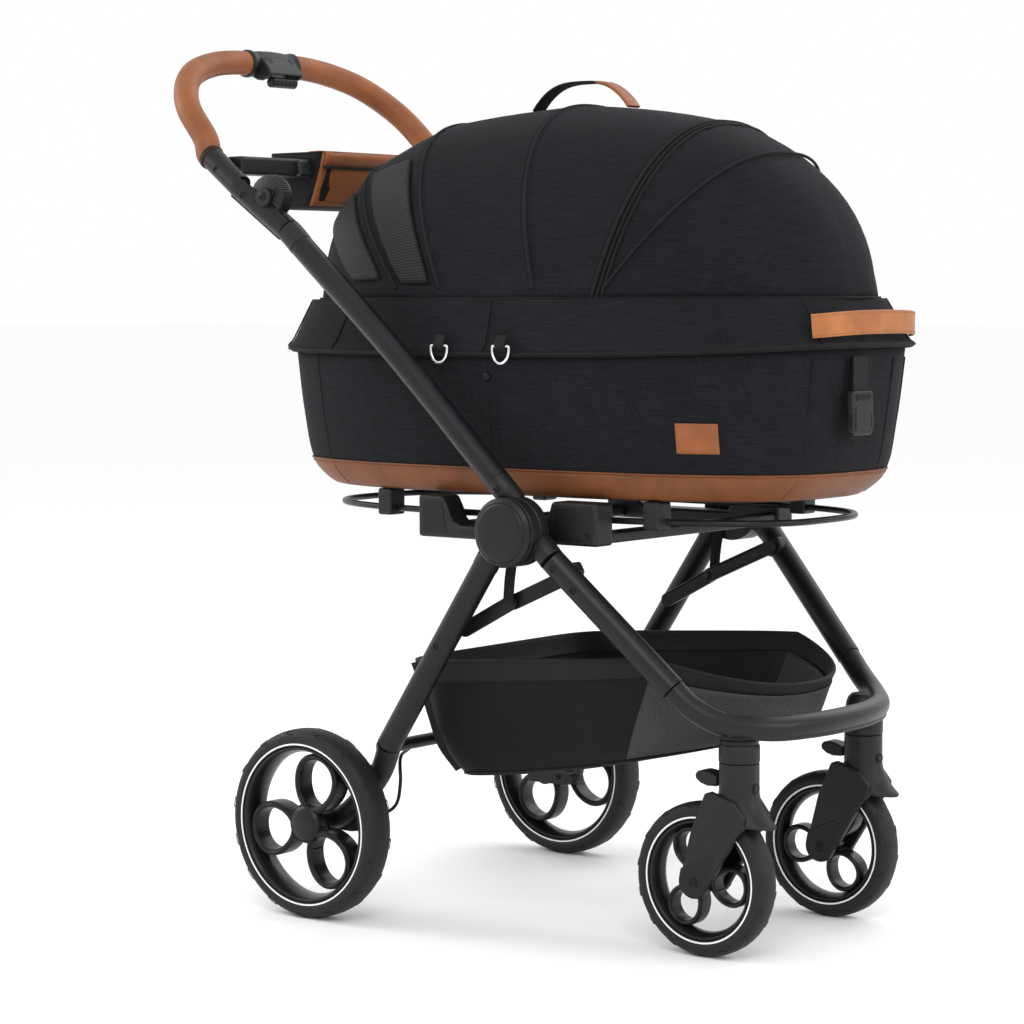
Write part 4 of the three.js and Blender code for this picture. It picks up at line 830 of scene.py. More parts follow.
for side, s in sides:
    body = f"caster_{side}"
    y = s * caster_y
    stem = [
        (1e-5, 0.1842), (0.0228, 0.1842), (0.0235, 0.185), (0.0235, 0.2305), (0.0228, 0.2314),
        (1e-5, 0.2314)
    ]
    post = turned(
        f"fork_stem_{side}", stem, at(caster_x, y, 0), moulding, body, "moulded_plastic", axis="Z"
    )
    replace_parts(post, f"front_fork_{side}")
    for face in (-1, 1):
        label = "outer" if face == s else "inner"
        outline = cheek + [(caster_x + x, z) for x, z in cheek_top]
        plate(
            f"fork_cheek_{side}_{label}", outline, y + face * slot_half, y + face * cheek_outer, moulding,
            body, "moulded_plastic", 0.0026
        )
        boot = [
            (front_x + 0.019 * math.cos(math.radians(d)), front_z + 0.019 * math.sin(math.radians(d)))
            for d in range(170, 335, 11)
        ]
        boot += [
            (front_x + 0.03, 0.1215), (front_x + 0.02, 0.1255), (front_x - 0.006, 0.113),
            (front_x - 0.0165, 0.105)
        ]
        plate(
            f"fork_boot_{side}_{label}", boot, y + face * (cheek_outer - 0.0015),
            y + face * (cheek_outer + 0.0006), dark_moulding, body, "moulded_plastic", 0.001
        )
        screw(
            f"fork_bolt_{side}_{label}", at(front_x, y + face * (cheek_outer + 0.0006), front_z),
            (0, face, 0), 0.0068, body
        )
        mark = [
            (
                front_x + 0.03 + 0.0048 * math.cos(math.radians(60 * k)),
                0.15 + 0.0048 * math.sin(math.radians(60 * k))
            )
            for k in range(6)
        ]
        plate(
            f"fork_mark_{side}_{label}", mark, y + face * (cheek_outer - 0.001),
            y + face * (cheek_outer + 0.0003), moulding, body, "moulded_plastic", 0.0003
        )
    crown_rings = []
    for k in range(11):
        f = k / 10
        flare = (1 - f) ** 2.0
        ring = []
        for n in range(48):
            turn = 2 * math.pi * n / 48
            c, d = math.cos(turn), math.sin(turn)
            forward = 0.0234 + ((0.0245 if c > 0 else 0.0085) * flare)
            x = forward * c
            width = 0.0234 + 0.0052 * flare
            foot_z = min(0.1862, max(0.164 - 0.004 * max(0, c) ** 2, arc_height(x - 0.002) + 0.0008))
            ring.append(at(caster_x + x, y + width * d, foot_z + (0.2005 - foot_z) * f))
        crown_rings.append(ring)
    under = [p + Vector((0, 0, -0.0022)) for p in crown_rings[0]]
    inner = [Vector((caster_x + axle_x, y, p.z - 0.0005)).lerp(p, 0.9) for p in under]
    crown = build(
        f"fork_crown_{side}", *ring_mesh([inner, under] + crown_rings), moulding, body, "moulded_plastic"
    )
    sharpen(crown, 60)
    tab = [
        (-0.0239, 0.2022), (-0.0239, 0.2142), (-0.034, 0.2182), (-0.044, 0.2196), (-0.052, 0.218),
        (-0.0549, 0.2135), (-0.054, 0.2085), (-0.047, 0.204), (-0.038, 0.2016)
    ]
    lock = plate(
        f"swivel_tab_{side}", [(caster_x + x, z) for x, z in tab], y - 0.011, y + 0.011, moulding,
        f"swivel_lock_{side}", "moulded_plastic", 0.0028
    )
    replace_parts(lock, f"swivel_lock_{side}")
    knob = [
        (1e-5, 0.0185), (0.0048, 0.0185), (0.005, 0.024), (0.0046, 0.0247), (0.0038, 0.0249),
        (0.0034, 0.0244), (1e-5, 0.0242)
    ]
    button = turned(
        f"release_button_{side}", knob, at(caster_x, y, 0.203), dark_moulding, f"wheel_release_{side}",
        "dark_plastic", axis="X", sides=32
    )
    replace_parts(button, f"wheel_release_{side}")
    collar = [
        (0.0052, 0.0215), (0.0066, 0.023), (0.0066, 0.0241), (0.006, 0.0244), (0.0053, 0.0241),
        (0.0052, 0.0215)
    ]
    turned(
        f"button_bezel_{side}", collar, at(caster_x, y, 0.203), moulding, body, "moulded_plastic", axis="X",
        sides=32
    )

    centre = at(front_x, y, front_z)
    wheel(
        f"front_{side}", centre, front_z, 0.0346, front_z - 0.02, 114 if s < 0 else 66,
        f"front_wheel_{side}", f"front_tyre_{side}", f"front_rim_{side}", 0.0145, s
    )
    hub_shape = [
        (1e-5, -0.0173), (0.0085, -0.0173), (0.01, -0.016), (0.0135, -0.011), (0.0145, -0.004),
        (0.0145, 0.004), (0.0135, 0.011), (0.01, 0.016), (0.0085, 0.0173), (1e-5, 0.0173)
    ]
    turned(
        f"wheel_hub_front_{side}", hub_shape, centre, rim_plastic, f"front_wheel_{side}", "rim_plastic",
        sides=48
    )

# Brace. A pressed steel bar from each front leg and a link from each rear leg meet at an elbow,
# and a webbing strap hangs from the hub to pull it open when the frame folds.
brace_from, elbow, link_to, strap_from = (0.37, 0.446), (0.277, 0.405), (0.207, 0.368), (0.279, 0.484)


def link_outline(a, b, radius_a, radius_b, corners=10):
    along = math.atan2(b[1] - a[1], b[0] - a[0])
    outline = []
    for (x, z), radius, start in ((a, radius_a, along + math.pi / 2), (b, radius_b, along - math.pi / 2)):
        for i in range(corners + 1):
            turn = start + math.pi * i / corners
            outline.append((x + radius * math.cos(turn), z + radius * math.sin(turn)))
    return outline


webbing = grained("webbing", (0.0058, 0.006, 0.007), 0.8, 0.8, 2200)
for side, s in sides:
    bar = plate(
        f"brace_arm_{side}", link_outline(brace_from, elbow, 0.009, 0.009), s * 0.2033, s * 0.2083,
        dark_steel, "brace_bars", "dark_steel", 0.001
    )
    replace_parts(bar, f"brace_bar_{side}")
    link = plate(
        f"brace_tie_{side}", link_outline(link_to, elbow, 0.009, 0.009), s * 0.2087, s * 0.2137, dark_steel,
        "brace_links", "dark_steel", 0.001
    )
    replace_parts(link, f"brace_link_{side}")
    for name, ends, y, body in (
        ("arm", (brace_from, elbow), 0.2031, "brace_bars"), ("tie", (link_to, elbow), 0.2085, "brace_links")
    ):
        a, b = Vector((ends[0][0], 0, ends[0][1])), Vector((ends[1][0], 0, ends[1][1]))
        across = Vector((-(b - a).z, 0, (b - a).x)).normalized()
        for edge in (-1, 1):
            line = [a.lerp(b, 0.1) + across * edge * 0.0072, a.lerp(b, 0.9) + across * edge * 0.0072]
            tube(
                f"brace_rib_{name}_{side}_{'upper' if edge > 0 else 'lower'}",
                [at(p.x, s * y, p.z) for p in line], 0.0012, dark_steel, body, "dark_steel", sides=10
            )
    rivet = [
        (1e-5, 0.2015), (0.003, 0.2015), (0.0045, 0.2022), (0.005, 0.2033), (0.005, 0.2142), (1e-5, 0.2142)
    ]
    turned(
        f"elbow_rivet_{side}", [(r, s * y) for r, y in rivet], at(elbow[0], 0, elbow[1]), dark_steel,
        "brace_bars", "dark_steel", sides=32
    )
    route = [at(x, s * 0.2166, z) for x, z in (strap_from, (0.2825, 0.46), (0.279, 0.43), elbow)]
    strap = swept(
        f"brace_strap_{side}", smooth_path(route), rounded_section(0.015, 0.0022, 0.0009), webbing,
        "brace_bars", "dark_plastic", up=(0, 1, 0)
    )
    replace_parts(strap, f"pull_strap_{side}")

# Seat frame. A moulded rail on each hub carries a raised cup at either end for the carrier's
# base, and two cross beams tie the rails.
rail_outer = 0.2105
rail_inner = rail_outer - 0.034
rail_outline = [
    (0.133, 0.477), (0.402, 0.477), (0.402, 0.5275), (0.336, 0.5275), (0.329, 0.505), (0.324, 0.493),
    (0.199, 0.493),
    (0.185, 0.499), (0.178, 0.515), (0.171, 0.5275), (0.133, 0.5275),
]
for side, s in sides:
    rail = plate(
        f"seat_rail_{side}", rail_outline, s * rail_inner, s * rail_outer, moulding, "frame",
        "moulded_plastic", 0.004
    )
    if s > 0:
        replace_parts(rail, "seat_frame")
    plate(
        f"rail_face_{side}", [(0.14, 0.483), (0.178, 0.483), (0.17, 0.521), (0.14, 0.521)], s * 0.2095,
        s * 0.2113, dark_moulding, "frame", "moulded_plastic", 0.0012
    )
    # The groove along the rail is not cut: a thin strip of the darker moulding stands proud of the face as
    # painted shade.
    plate(
        f"rail_groove_painted_shade_{side}", [(0.2, 0.4815), (0.284, 0.4815), (0.284, 0.4885), (0.2, 0.4885)], s * 0.2095,
        s * 0.2112, dark_moulding, "frame", "moulded_plastic", 0.0008
    )
    plate(
        f"cup_face_{side}", [(0.338, 0.483), (0.396, 0.483), (0.396, 0.522), (0.343, 0.522)], s * 0.2095,
        s * 0.2113, dark_moulding, "frame", "moulded_plastic", 0.0012
    )
    plate(
        f"rail_lug_{side}", [(0.289, 0.477), (0.32, 0.477), (0.32, 0.512), (0.289, 0.512)], s * 0.2055,
        s * 0.2191, moulding, "frame", "moulded_plastic", 0.002
    )
    screw(f"rail_screw_{side}", at(0.39, s * 0.2113, 0.49), (0, s, 0), 0.004, "frame")
for name, x in (("rear", 0.137), ("front", 0.372)):
    block(
        f"cross_beam_{name}", at(x, -rail_inner - 0.001, 0.479), at(x + 0.026, rail_inner + 0.001, 0.492),
        moulding, "frame", "moulded_plastic", 0.003
    )

# Handle hinges. A toothed moulded disc at the top of each side tube, with the arm's flat cheek
# turning against its outer face and a recessed bolt through both.
def cut_section(radius, inner, outer, corners=22):
    """The part of a round bar's section that lies between two distances across the stroller."""
    outline = []
    for i in range(corners * 2):
        turn = math.pi * i / corners
        outline.append((radius * math.cos(turn), max(inner, min(outer, radius * math.sin(turn)))))
    kept = []
    for p in outline:
        if not kept or math.dist(p, kept[-1]) > 1e-5:
            kept.append(p)
    return kept


hinge_face = 0.2415
for side, s in sides:
    inner_part = cut_section(tube_radius, -tube_radius, hinge_face - tube_y)
    outer_part = cut_section(tube_radius, hinge_face + 0.0004 - tube_y, tube_radius)
    low, high = (inner_part, outer_part) if s < 0 else (inner_part, outer_part)
    flip = [(a, -s * b) for a, b in low]
    seat = [at(x, s * tube_y, z) for x, z in (on_arm(0.004), on_arm(0.049))]
    swept(f"hinge_seat_{side}", seat, flip, moulding, "frame", "moulded_plastic", up=(0, -1, 0))
    route = [
        at(x, s * tube_y, z) for x,
        z in (
            on_arm(0.0505), collar_start,
            ((collar_start[0] + collar_end[0]) / 2, (collar_start[1] + collar_end[1]) / 2 + 0.0006),
            collar_end
        )
    ]
    tube(
        f"hinge_collar_{side}", route[1:], tube_radius + 0.0004, moulding, "frame", "moulded_plastic",
        sides=48
    )
    disc = [
        (1e-5, 0.2198), (0.015, 0.2198), (0.017, 0.2206), (0.024, 0.2206), (0.0262, 0.222), (0.027, 0.224),
        (0.027, 0.2385), (0.0262, 0.2405), (0.0245, hinge_face), (1e-5, hinge_face),
    ]
    ratchet = turned(
        f"ratchet_disc_{side}", [(r, s * y) for r, y in disc], at(hinge[0], 0, hinge[1]), moulding, "frame",
        "moulded_plastic", sides=72
    )
    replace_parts(ratchet, f"handle_hinge_{side}")
    for i in range(26):
        turn = math.radians(-58 + 4.6 * i * 1.4)
        x, z = hinge[0] + 0.027 * math.cos(turn), hinge[1] + 0.027 * math.sin(turn)
        tooth = [at(x, s * 0.2262, z), at(x, s * 0.2372, z)]
        tube(f"ratchet_tooth_{side}_{i}", tooth, 0.0009, moulding, "frame", "moulded_plastic", sides=8)
    screw(
        f"hinge_bolt_{side}", at(hinge[0], s * hinge_face, hinge[1]) + Vector((0.015, 0, 0.006)), (0, s, 0),
        0.005, "frame"
    )

    cheek = [at(x, s * tube_y, z) for x, z in (on_arm(-0.051), on_arm(0), on_arm(0.0485))]
    swept(
        f"arm_cheek_{side}", smooth_path(cheek, 6), [(a, -s * b) for a, b in high], powder_coat, "handle",
        "coated_tube", up=(0, -1, 0)
    )
    boss = [
        (1e-5, hinge_face + 0.0005), (0.0118, hinge_face + 0.0005), (0.0122, 0.244), (0.0122, 0.2478),
        (0.0112, 0.249), (0.006, 0.2493), (1e-5, 0.2493)
    ]
    turned(
        f"arm_boss_{side}", [(r, s * y) for r, y in boss], at(hinge[0], 0, hinge[1]), moulding, "handle",
        "moulded_plastic", sides=48
    )
    screw(f"arm_boss_screw_{side}", at(hinge[0], s * 0.2493, hinge[1]), (0, s, 0), 0.0062, "handle")
    arm_route = [
        at(on_arm(-0.0505)[0], s * 0.2335, on_arm(-0.0505)[1]),
        at(on_arm(-0.084)[0], s * 0.23, on_arm(-0.084)[1]),
        at(on_arm(-0.1165)[0], s * 0.2265, on_arm(-0.1165)[1])
    ]
    arm = tube(f"handle_arm_{side}", arm_route, tube_radius, powder_coat, "handle", "coated_tube", sides=48)
    if s > 0:
        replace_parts(arm, "handle_tube")
    for i, (along, y) in enumerate(((-0.0905, 0.2293), (-0.03, 0.2345))):
        x, z = on_arm(along)
        screw(
            f"arm_screw_{side}_{i}", at(x, s * (y + tube_radius - 0.0004), z), (0, s, 0), 0.0048, "handle"
        )

# Grips. Saddle-brown leather sleeves are pulled over the bent tube and closed along the
# underside with a pair of stitched edges.
def leather_finish(name, colour, roughness=0.42):
    """Tanned leather: fine pebble grain, broad clouding and a slight polish on the high spots."""
    material = bpy.data.materials.new(name)
    material.use_nodes = True
    nodes, links = material.node_tree.nodes, material.node_tree.links
    shader = nodes["Principled BSDF"]
    shader.inputs["Specular IOR Level"].default_value = 0.3
    place = nodes.new("ShaderNodeTexCoord")
    cloud = nodes.new("ShaderNodeTexNoise")
    cloud.inputs["Scale"].default_value = 22
    cloud.inputs["Detail"].default_value = 7
    cloud.inputs["Roughness"].default_value = 0.62
    links.new(place.outputs["Object"], cloud.inputs["Vector"])
    tint = nodes.new("ShaderNodeValToRGB")
    tint.color_ramp.elements[0].position = 0.3
    tint.color_ramp.elements[0].color = (*[c * 0.74 for c in colour], 1)
    tint.color_ramp.elements[1].position = 0.72
    tint.color_ramp.elements[1].color = (*[min(1, c * 1.16) for c in colour], 1)
    links.new(cloud.outputs["Fac"], tint.inputs["Fac"])
    links.new(tint.outputs["Color"], shader.inputs["Base Color"])
    pebble = nodes.new("ShaderNodeTexVoronoi")
    pebble.inputs["Scale"].default_value = 620
    links.new(place.outputs["Object"], pebble.inputs["Vector"])
    wear = nodes.new("ShaderNodeMapRange")
    wear.inputs["From Min"].default_value = 0.0
    wear.inputs["From Max"].default_value = 0.7
    wear.inputs["To Min"].default_value = roughness - 0.06
    wear.inputs["To Max"].default_value = roughness + 0.14
    links.new(pebble.outputs["Distance"], wear.inputs["Value"])
    links.new(wear.outputs["Result"], shader.inputs["Roughness"])
    relief = nodes.new("ShaderNodeBump")
    relief.inputs["Strength"].default_value = 0.35
    relief.inputs["Distance"].default_value = 0.0003
    links.new(pebble.outputs["Distance"], relief.inputs["Height"])
    links.new(relief.outputs["Normal"], shader.inputs["Normal"])
    return material


saddle_leather = leather_finish("saddle_leather", (0.25, 0.08, 0.024))
tan_leather = leather_finish("tan_leather", (0.37, 0.13, 0.04), 0.36)
band_leather = leather_finish("band_leather", (0.165, 0.052, 0.0155), 0.46)
tan_thread = grained("tan_thread", (0.26, 0.115, 0.045), 0.7, 0.6, 2600)
black_thread = grained("black_thread", (0.0036, 0.0037, 0.0044), 0.8, 0.6, 2600)


def stitches(name, path, pitch, material, body, slot, thickness=0.0005):
    """A row of short stitches along a path, joined into one piece."""
    lengths = [0.0]
    for a, b in zip(path, path[1:]):
        lengths.append(lengths[-1] + (b - a).length)

    def along(distance):
        for i in range(1, len(path)):
            if lengths[i] >= distance:
                share = (distance - lengths[i - 1]) / max(lengths[i] - lengths[i - 1], 1e-9)
                return path[i - 1].lerp(path[i], share)
        return path[-1]

    points, faces = [], []
    count = int(lengths[-1] / pitch)
    for n in range(count):
        a, b = along((n + 0.16) * pitch), along((n + 0.84) * pitch)
        direction = (b - a).normalized()
        side = direction.orthogonal().normalized()
        over = direction.cross(side)
        base = len(points)
        for p, k in ((a, 0.4), (a.lerp(b, 0.5), 1.0), (b, 0.4)):
            for j in range(6):
                turn = math.pi * j / 3
                points.append(p + (side * math.cos(turn) + over * math.sin(turn)) * thickness * k)
        for level in range(2):
            for j in range(6):
                k = (j + 1) % 6
                faces.append(
                    (
                        base + level * 6 + j, base + level * 6 + k, base + level * 6 + 6 + k,
                        base + level * 6 + 6 + j
                    )
                )
        faces.append(tuple(base + j for j in range(5, -1, -1)))
        faces.append(tuple(base + 12 + j for j in range(6)))
    return build(name, points, faces, material, body, slot)


grip_radius = 0.0163
loop_points = [
    (*on_arm(-0.1172), 0.2265), (*on_arm(-0.125), 0.2258), (-0.204, 0.965, 0.224), (-0.24, 1.006, 0.2175),
    (-0.264, 1.033, 0.1985),
    (-0.285, 1.057, 0.1645), (-0.299, 1.073, 0.1125), (-0.304, 1.079, 0.0625), (-0.304, 1.079, 0.0464),
]
for side, s in sides:
    route = [at(x, s * y, z) for x, z, y in loop_points]
    path = smooth_path(route, 12)
    length = len(path) - 1
    grip = swept(
        f"grip_sleeve_{side}", path, circle(grip_radius - 0.0003, 40), saddle_leather, f"handle", "leather"
    )
    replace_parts(grip, f"handle_grip_{side}")
    under = []
    for i, p in enumerate(path):
        ahead = (path[min(i + 1, length)] - path[max(i - 1, 0)]).normalized()
        inward = Vector((0, -s, 0)) - ahead * ahead.dot(Vector((0, -s, 0)))
        down = Vector((0.5, 0, -1)) - ahead * ahead.dot(Vector((0.5, 0, -1)))
        way = (
            inward.normalized() * (1 - i / length) + down.normalized() * (0.35 + i / length)
        ).normalized()
        under.append((p, way, ahead.cross(way).normalized()))
    ridge = [p + way * (grip_radius - 0.0004) for p, way, _ in under]
    tube(
        f"grip_seam_{side}", ridge[2:-2:4] + [ridge[-3]], 0.0009, saddle_leather, "handle", "leather",
        per_span=4, sides=8
    )
    for row in (-1, 1):
        line = [
            p + (way * math.cos(0.17) + across * row * math.sin(0.17)) * (grip_radius - 0.0001) for p, way,
            across in under
        ]
        stitches(
            f"grip_stitches_{side}_{'a' if row > 0 else 'b'}", line[3:-3], 0.0052, tan_thread, "handle",
            "leather"
        )
    ahead = (path[1] - path[0]).normalized()
    for i, (a, b, extra) in enumerate(((0.0, 0.0045, 0.0007),)):
        ferrule = [path[0] + ahead * a, path[0] + ahead * b]
        tube(
            f"grip_ferrule_{side}", ferrule, grip_radius + 0.0004, dark_moulding, "handle", "dark_plastic",
            sides=40
        )

# Lever housing. A two-part moulded sleeve at the middle of the handle has flared ends, and the
# squeeze lever that folds the frame sits in a pocket under it.
top = at(-0.304, 0, 1.079)
sleeve = [
    (0.0132, 0.046), (0.016, 0.046), (0.0178, 0.0452), (0.0186, 0.0438), (0.0186, 0.0405), (0.0176, 0.0385),
    (0.0172, 0.03),
    (0.0172, 0.029), (0.0168, 0.0286), (0.0168, 0.0276), (0.0174, 0.0272), (0.018, 0.02), (0.0184, 0.01),
    (0.0186, 0.0),
]
profile = sleeve + [(r, -h) for r, h in reversed(sleeve[:-1])]
housing = turned("housing_sleeve", profile, top, moulding, "handle", "moulded_plastic", sides=72)
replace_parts(housing, "lever_housing")
body_outline = [
    (-0.005, -0.015), (0.008, -0.0215), (0.0165, -0.0225), (0.029, -0.0195), (0.0335, -0.0165),
    (0.0335, -0.0125), (0.027, -0.003), (0.019, 0.006), (0.0115, 0.0125), (-0.002, 0.015)
]
for name, low, high, inset in (("left", 0.0265, 0.032, 0.0), ("right", -0.032, -0.0265, 0.0)):
    outline = [(-0.304 + x, 1.079 + z) for x, z in body_outline]
    plate(f"housing_cheek_{name}", outline, low, high, moulding, "handle", "moulded_plastic", 0.0022)
roof = [
    (-0.002, 0.015), (0.0115, 0.0125), (0.019, 0.006), (0.027, -0.003), (0.0335, -0.0125), (0.0335, -0.015),
    (0.025, -0.0105), (0.015, -0.01), (0.0, -0.01)
]
plate(
    "housing_front", [(-0.304 + x, 1.079 + z) for x, z in roof], -0.03, 0.03, moulding, "handle",
    "moulded_plastic", 0.002
)
badge = [
    (0.0182, 0.0078), (0.0196, 0.0064), (0.0262, -0.0022), (0.0276, -0.0042), (0.0262, -0.0052),
    (0.017, 0.006)
]
plate(
    "housing_window", [(-0.304 + x, 1.079 + z) for x, z in badge], -0.0165, 0.0165, dark_moulding, "handle",
    "dark_plastic", 0.0006
)
for name, y in (("left", 0.023), ("right", -0.023)):
    rubber_pad = [(0.0172, 0.0086), (0.0186, 0.0074), (0.0238, 0.0008), (0.0228, -0.0002), (0.0166, 0.007)]
    plate(
        f"housing_pad_{name}", [(-0.304 + x, 1.079 + z) for x, z in rubber_pad], y - 0.0035, y + 0.0035,
        rubber, "handle", "dark_plastic", 0.0006
    )
lever_outline = [
    (0.017, -0.0232), (0.0215, -0.0186), (0.027, -0.0174), (0.0325, -0.0202), (0.033, -0.024),
    (0.0312, -0.029), (0.028, -0.0318), (0.022, -0.0318), (0.0185, -0.029)
]
lever = plate(
    "squeeze_lever", [(-0.304 + x, 1.079 + z) for x, z in lever_outline], -0.0238, 0.0238, dark_moulding,
    "fold_lever", "dark_plastic", 0.0022
)
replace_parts(lever, "fold_lever")
for i in range(5):
    y = -0.016 + 0.008 * i
    tube(
        f"lever_rib_{i}", [top + Vector((0.0327, y, -0.0215)), top + Vector((0.0316, y, -0.0285))], 0.0009,
        dark_moulding, "fold_lever", "dark_plastic", sides=8
    )

# Organiser. A moulded hoop on two brackets carries a sewn pouch with black sides, a leather
# front panel and a leather flap bound in black along its edge.
pouch_low, pouch_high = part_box("organiser_pouch")
pouch_back = -0.232
fabric_side = grained("pouch_cloth", (0.0048, 0.005, 0.0058), 0.85, 1.0, 1500)
depth = pouch_high.z - pouch_low.z


def pouch_front(z):
    return -0.15 + (z - pouch_low.z) / depth * 0.025


def pouch_ring(z, inset, corner=0.016):
    """A rounded four-sided ring round the pouch at a height."""
    x0, x1, y1 = pouch_back + inset, pouch_front(z) - inset, 0.085 - inset
    ring = []
    for cx, cy, start in ((x1, y1, 0), (x0, y1, 90), (x0, -y1, 180), (x1, -y1, 270)):
        for k in range(7):
            turn = math.radians(start + 15 * k)
            ring.append(
                at(
                    cx - math.copysign(corner, cx - (x0 + x1) / 2) + corner * math.cos(turn),
                    cy - math.copysign(corner, cy) + corner * math.sin(turn), z
                )
            )
    return ring


def skin(name, rings, material, body, slot, capped=True, closed=True):
    """A skin over rings of points."""
    count = len(rings[0])
    points = [p for ring in rings for p in ring]
    faces = []
    for level in range(len(rings) - 1):
        for i in range(count if closed else count - 1):
            j = (i + 1) % count
            faces.append(
                (level * count + i, level * count + j, (level + 1) * count + j, (level + 1) * count + i)
            )
    if capped:
        faces.append(tuple(range(count - 1, -1, -1)))
        faces.append(tuple((len(rings) - 1) * count + i for i in range(count)))
    return build(name, points, faces, material, body, slot)


def cloth_uvs(rings):
    """Distances round and up a stack of rings, as coordinates for the weave."""
    count = len(rings[0])
    uvs = []
    up = [0.0] * count
    for level, ring in enumerate(rings):
        if level:
            up = [u + (ring[i] - rings[level - 1][i]).length for i, u in enumerate(up)]
        gone = 0.0
        for i in range(count):
            uvs.append((gone, up[i]))
            gone += (ring[(i + 1) % count] - ring[i]).length
    return uvs


def cloth_skin(
    name, rings, material, body, slot, wall=0.003, crease=0.0006, closed=True, capped=False, seed=0.0
):
    """A sheet of cloth over rings of points, gently creased, with its own thickness inward."""
    count = len(rings[0])
    uvs = cloth_uvs(rings)
    points = [p for ring in rings for p in ring]
    if crease:
        points = [
            p + Vector(
                (noise.noise(p * 9 + Vector((seed, 0, 0))), noise.noise(p * 9 + Vector((0, seed, 7))), 0)
            ) * crease
            for p in points
        ]
    faces = []
    for level in range(len(rings) - 1):
        for i in range(count if closed else count - 1):
            j = (i + 1) % count
            faces.append(
                (level * count + i, level * count + j, (level + 1) * count + j, (level + 1) * count + i)
            )
    if capped:
        faces.append(tuple((len(rings) - 1) * count + i for i in range(count)))
    piece = build(name, points, faces, material, body, slot, uvs=uvs)
    thicken = piece.modifiers.new("thicken", "SOLIDIFY")
    thicken.thickness = wall
    thicken.offset = -1
    return apply_all(piece)


levels = [
    (0.0, 0.01), (0.003, 0.004), (0.01, 0.001), (0.025, 0.0002), (0.045, 0.0005), (0.063, 0.001),
    (0.073, 0.0012)
]
rings = [pouch_ring(pouch_low.z + rise, inset) for rise, inset in levels]
rings += [
    pouch_ring(pouch_high.z - 0.0002, 0.0032), pouch_ring(pouch_high.z - 0.004, 0.004),
    pouch_ring(pouch_low.z + 0.014, 0.0048), pouch_ring(pouch_low.z + 0.0045, 0.01)
]
pouch = skin("pouch_body", rings, fabric_side, "handle", "black_fabric")
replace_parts(pouch, "organiser_pouch")
front_rows = []
for k in range(9):
    z = pouch_low.z + 0.003 + (depth - 0.0035) * k / 8
    swell = 0.0006 + 0.0011 * math.sin(math.pi * k / 8)
    front_rows.append(
        [
            at(pouch_front(z) + swell - 0.0012 - 0.0035 * abs(y / 0.082) ** 6, y, z)
            for y in (-0.084 + 0.168 * i / 24 for i in range(25))
        ]
    )
panel = cloth_skin(
    "pouch_front_panel", front_rows, saddle_leather, "handle", "leather", wall=-0.0016, crease=0,
    closed=False
)
flap_rows = []
for k, (dx, z) in enumerate(
    ((-0.03, 0.9545), (-0.012, 0.9549), (-0.004, 0.9544), (0.0008, 0.952), (0.0016, 0.948), (0.0011, 0.936))
):
    flap_rows.append(
        [at(pouch_front(z) + dx, y, z) for y in (-0.0846 + 0.1692 * i / 12 for i in range(13))]
    )
flap = cloth_skin(
    "pouch_flap", flap_rows, saddle_leather, "handle", "leather", wall=-0.0012, crease=0, closed=False
)
stitches(
    "pouch_flap_stitches",
    [at(pouch_front(0.9385) + 0.0016, -0.082 + 0.0041 * i, 0.9385) for i in range(41)], 0.0045, tan_thread,
    "handle", "leather", 0.0004
)
stitches(
    "pouch_front_stitches", [at(pouch_front(0.889) - 0.0002, -0.08 + 0.004 * i, 0.889) for i in range(41)],
    0.0045, tan_thread, "handle", "leather", 0.0004
)
binding = [at(pouch_front(0.9352) + 0.0016, y, 0.9352) for y in (-0.0845, 0.0845)]
swept(
    "pouch_flap_binding", binding, rounded_section(0.0022, 0.0048, 0.0008), fabric_side, "handle",
    "black_fabric", up=(0, 0, 1)
)

hoop_low, hoop_high = 0.921, 0.945
hoop_front = pouch_front(hoop_high) + 0.001
hoop = []
x0, x1, y1, corner = pouch_back - 0.004, hoop_front + 0.0025, 0.089, 0.018
for cx, cy, start in ((x1, y1, 0), (x0, y1, 90), (x0, -y1, 180), (x1, -y1, 270)):
    for k in range(7):
        turn = math.radians(start + 15 * k)
        hoop.append(
            at(
                cx - math.copysign(corner, cx - (x0 + x1) / 2) + corner * math.cos(turn),
                cy - math.copysign(corner, cy) + corner * math.sin(turn), (hoop_low + hoop_high) / 2
            )
        )
hoop_middle = (hoop_low + hoop_high) / 2
back_hoop = (
    [at(-0.15, y1, hoop_middle)] + [p for p in hoop if p.x < at(-0.16, 0, 0).x]
    + [at(-0.15, -y1, hoop_middle)]
)
hoop_piece = swept(
    "organiser_hoop", back_hoop, rounded_section(0.0055, 0.0236, 0.0022), moulding, "handle",
    "moulded_plastic", up=(0, 0, 1)
)
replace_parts(hoop_piece, "organiser_frame")
for side, s in sides:
    arm_block = [(-0.178, 0.9215), (-0.15, 0.9215), (-0.15, 0.9448), (-0.178, 0.9448)]
    plate(
        f"organiser_bracket_{side}", arm_block, s * 0.087, s * 0.216, moulding, "handle", "moulded_plastic",
        0.004
    )
    plate(
        f"organiser_socket_{side}",
        [(-0.186, 0.9225), (-0.142, 0.9225), (-0.146, 0.9435), (-0.182, 0.9435)], s * 0.09, s * 0.115,
        moulding, "handle", "moulded_plastic", 0.004
    )

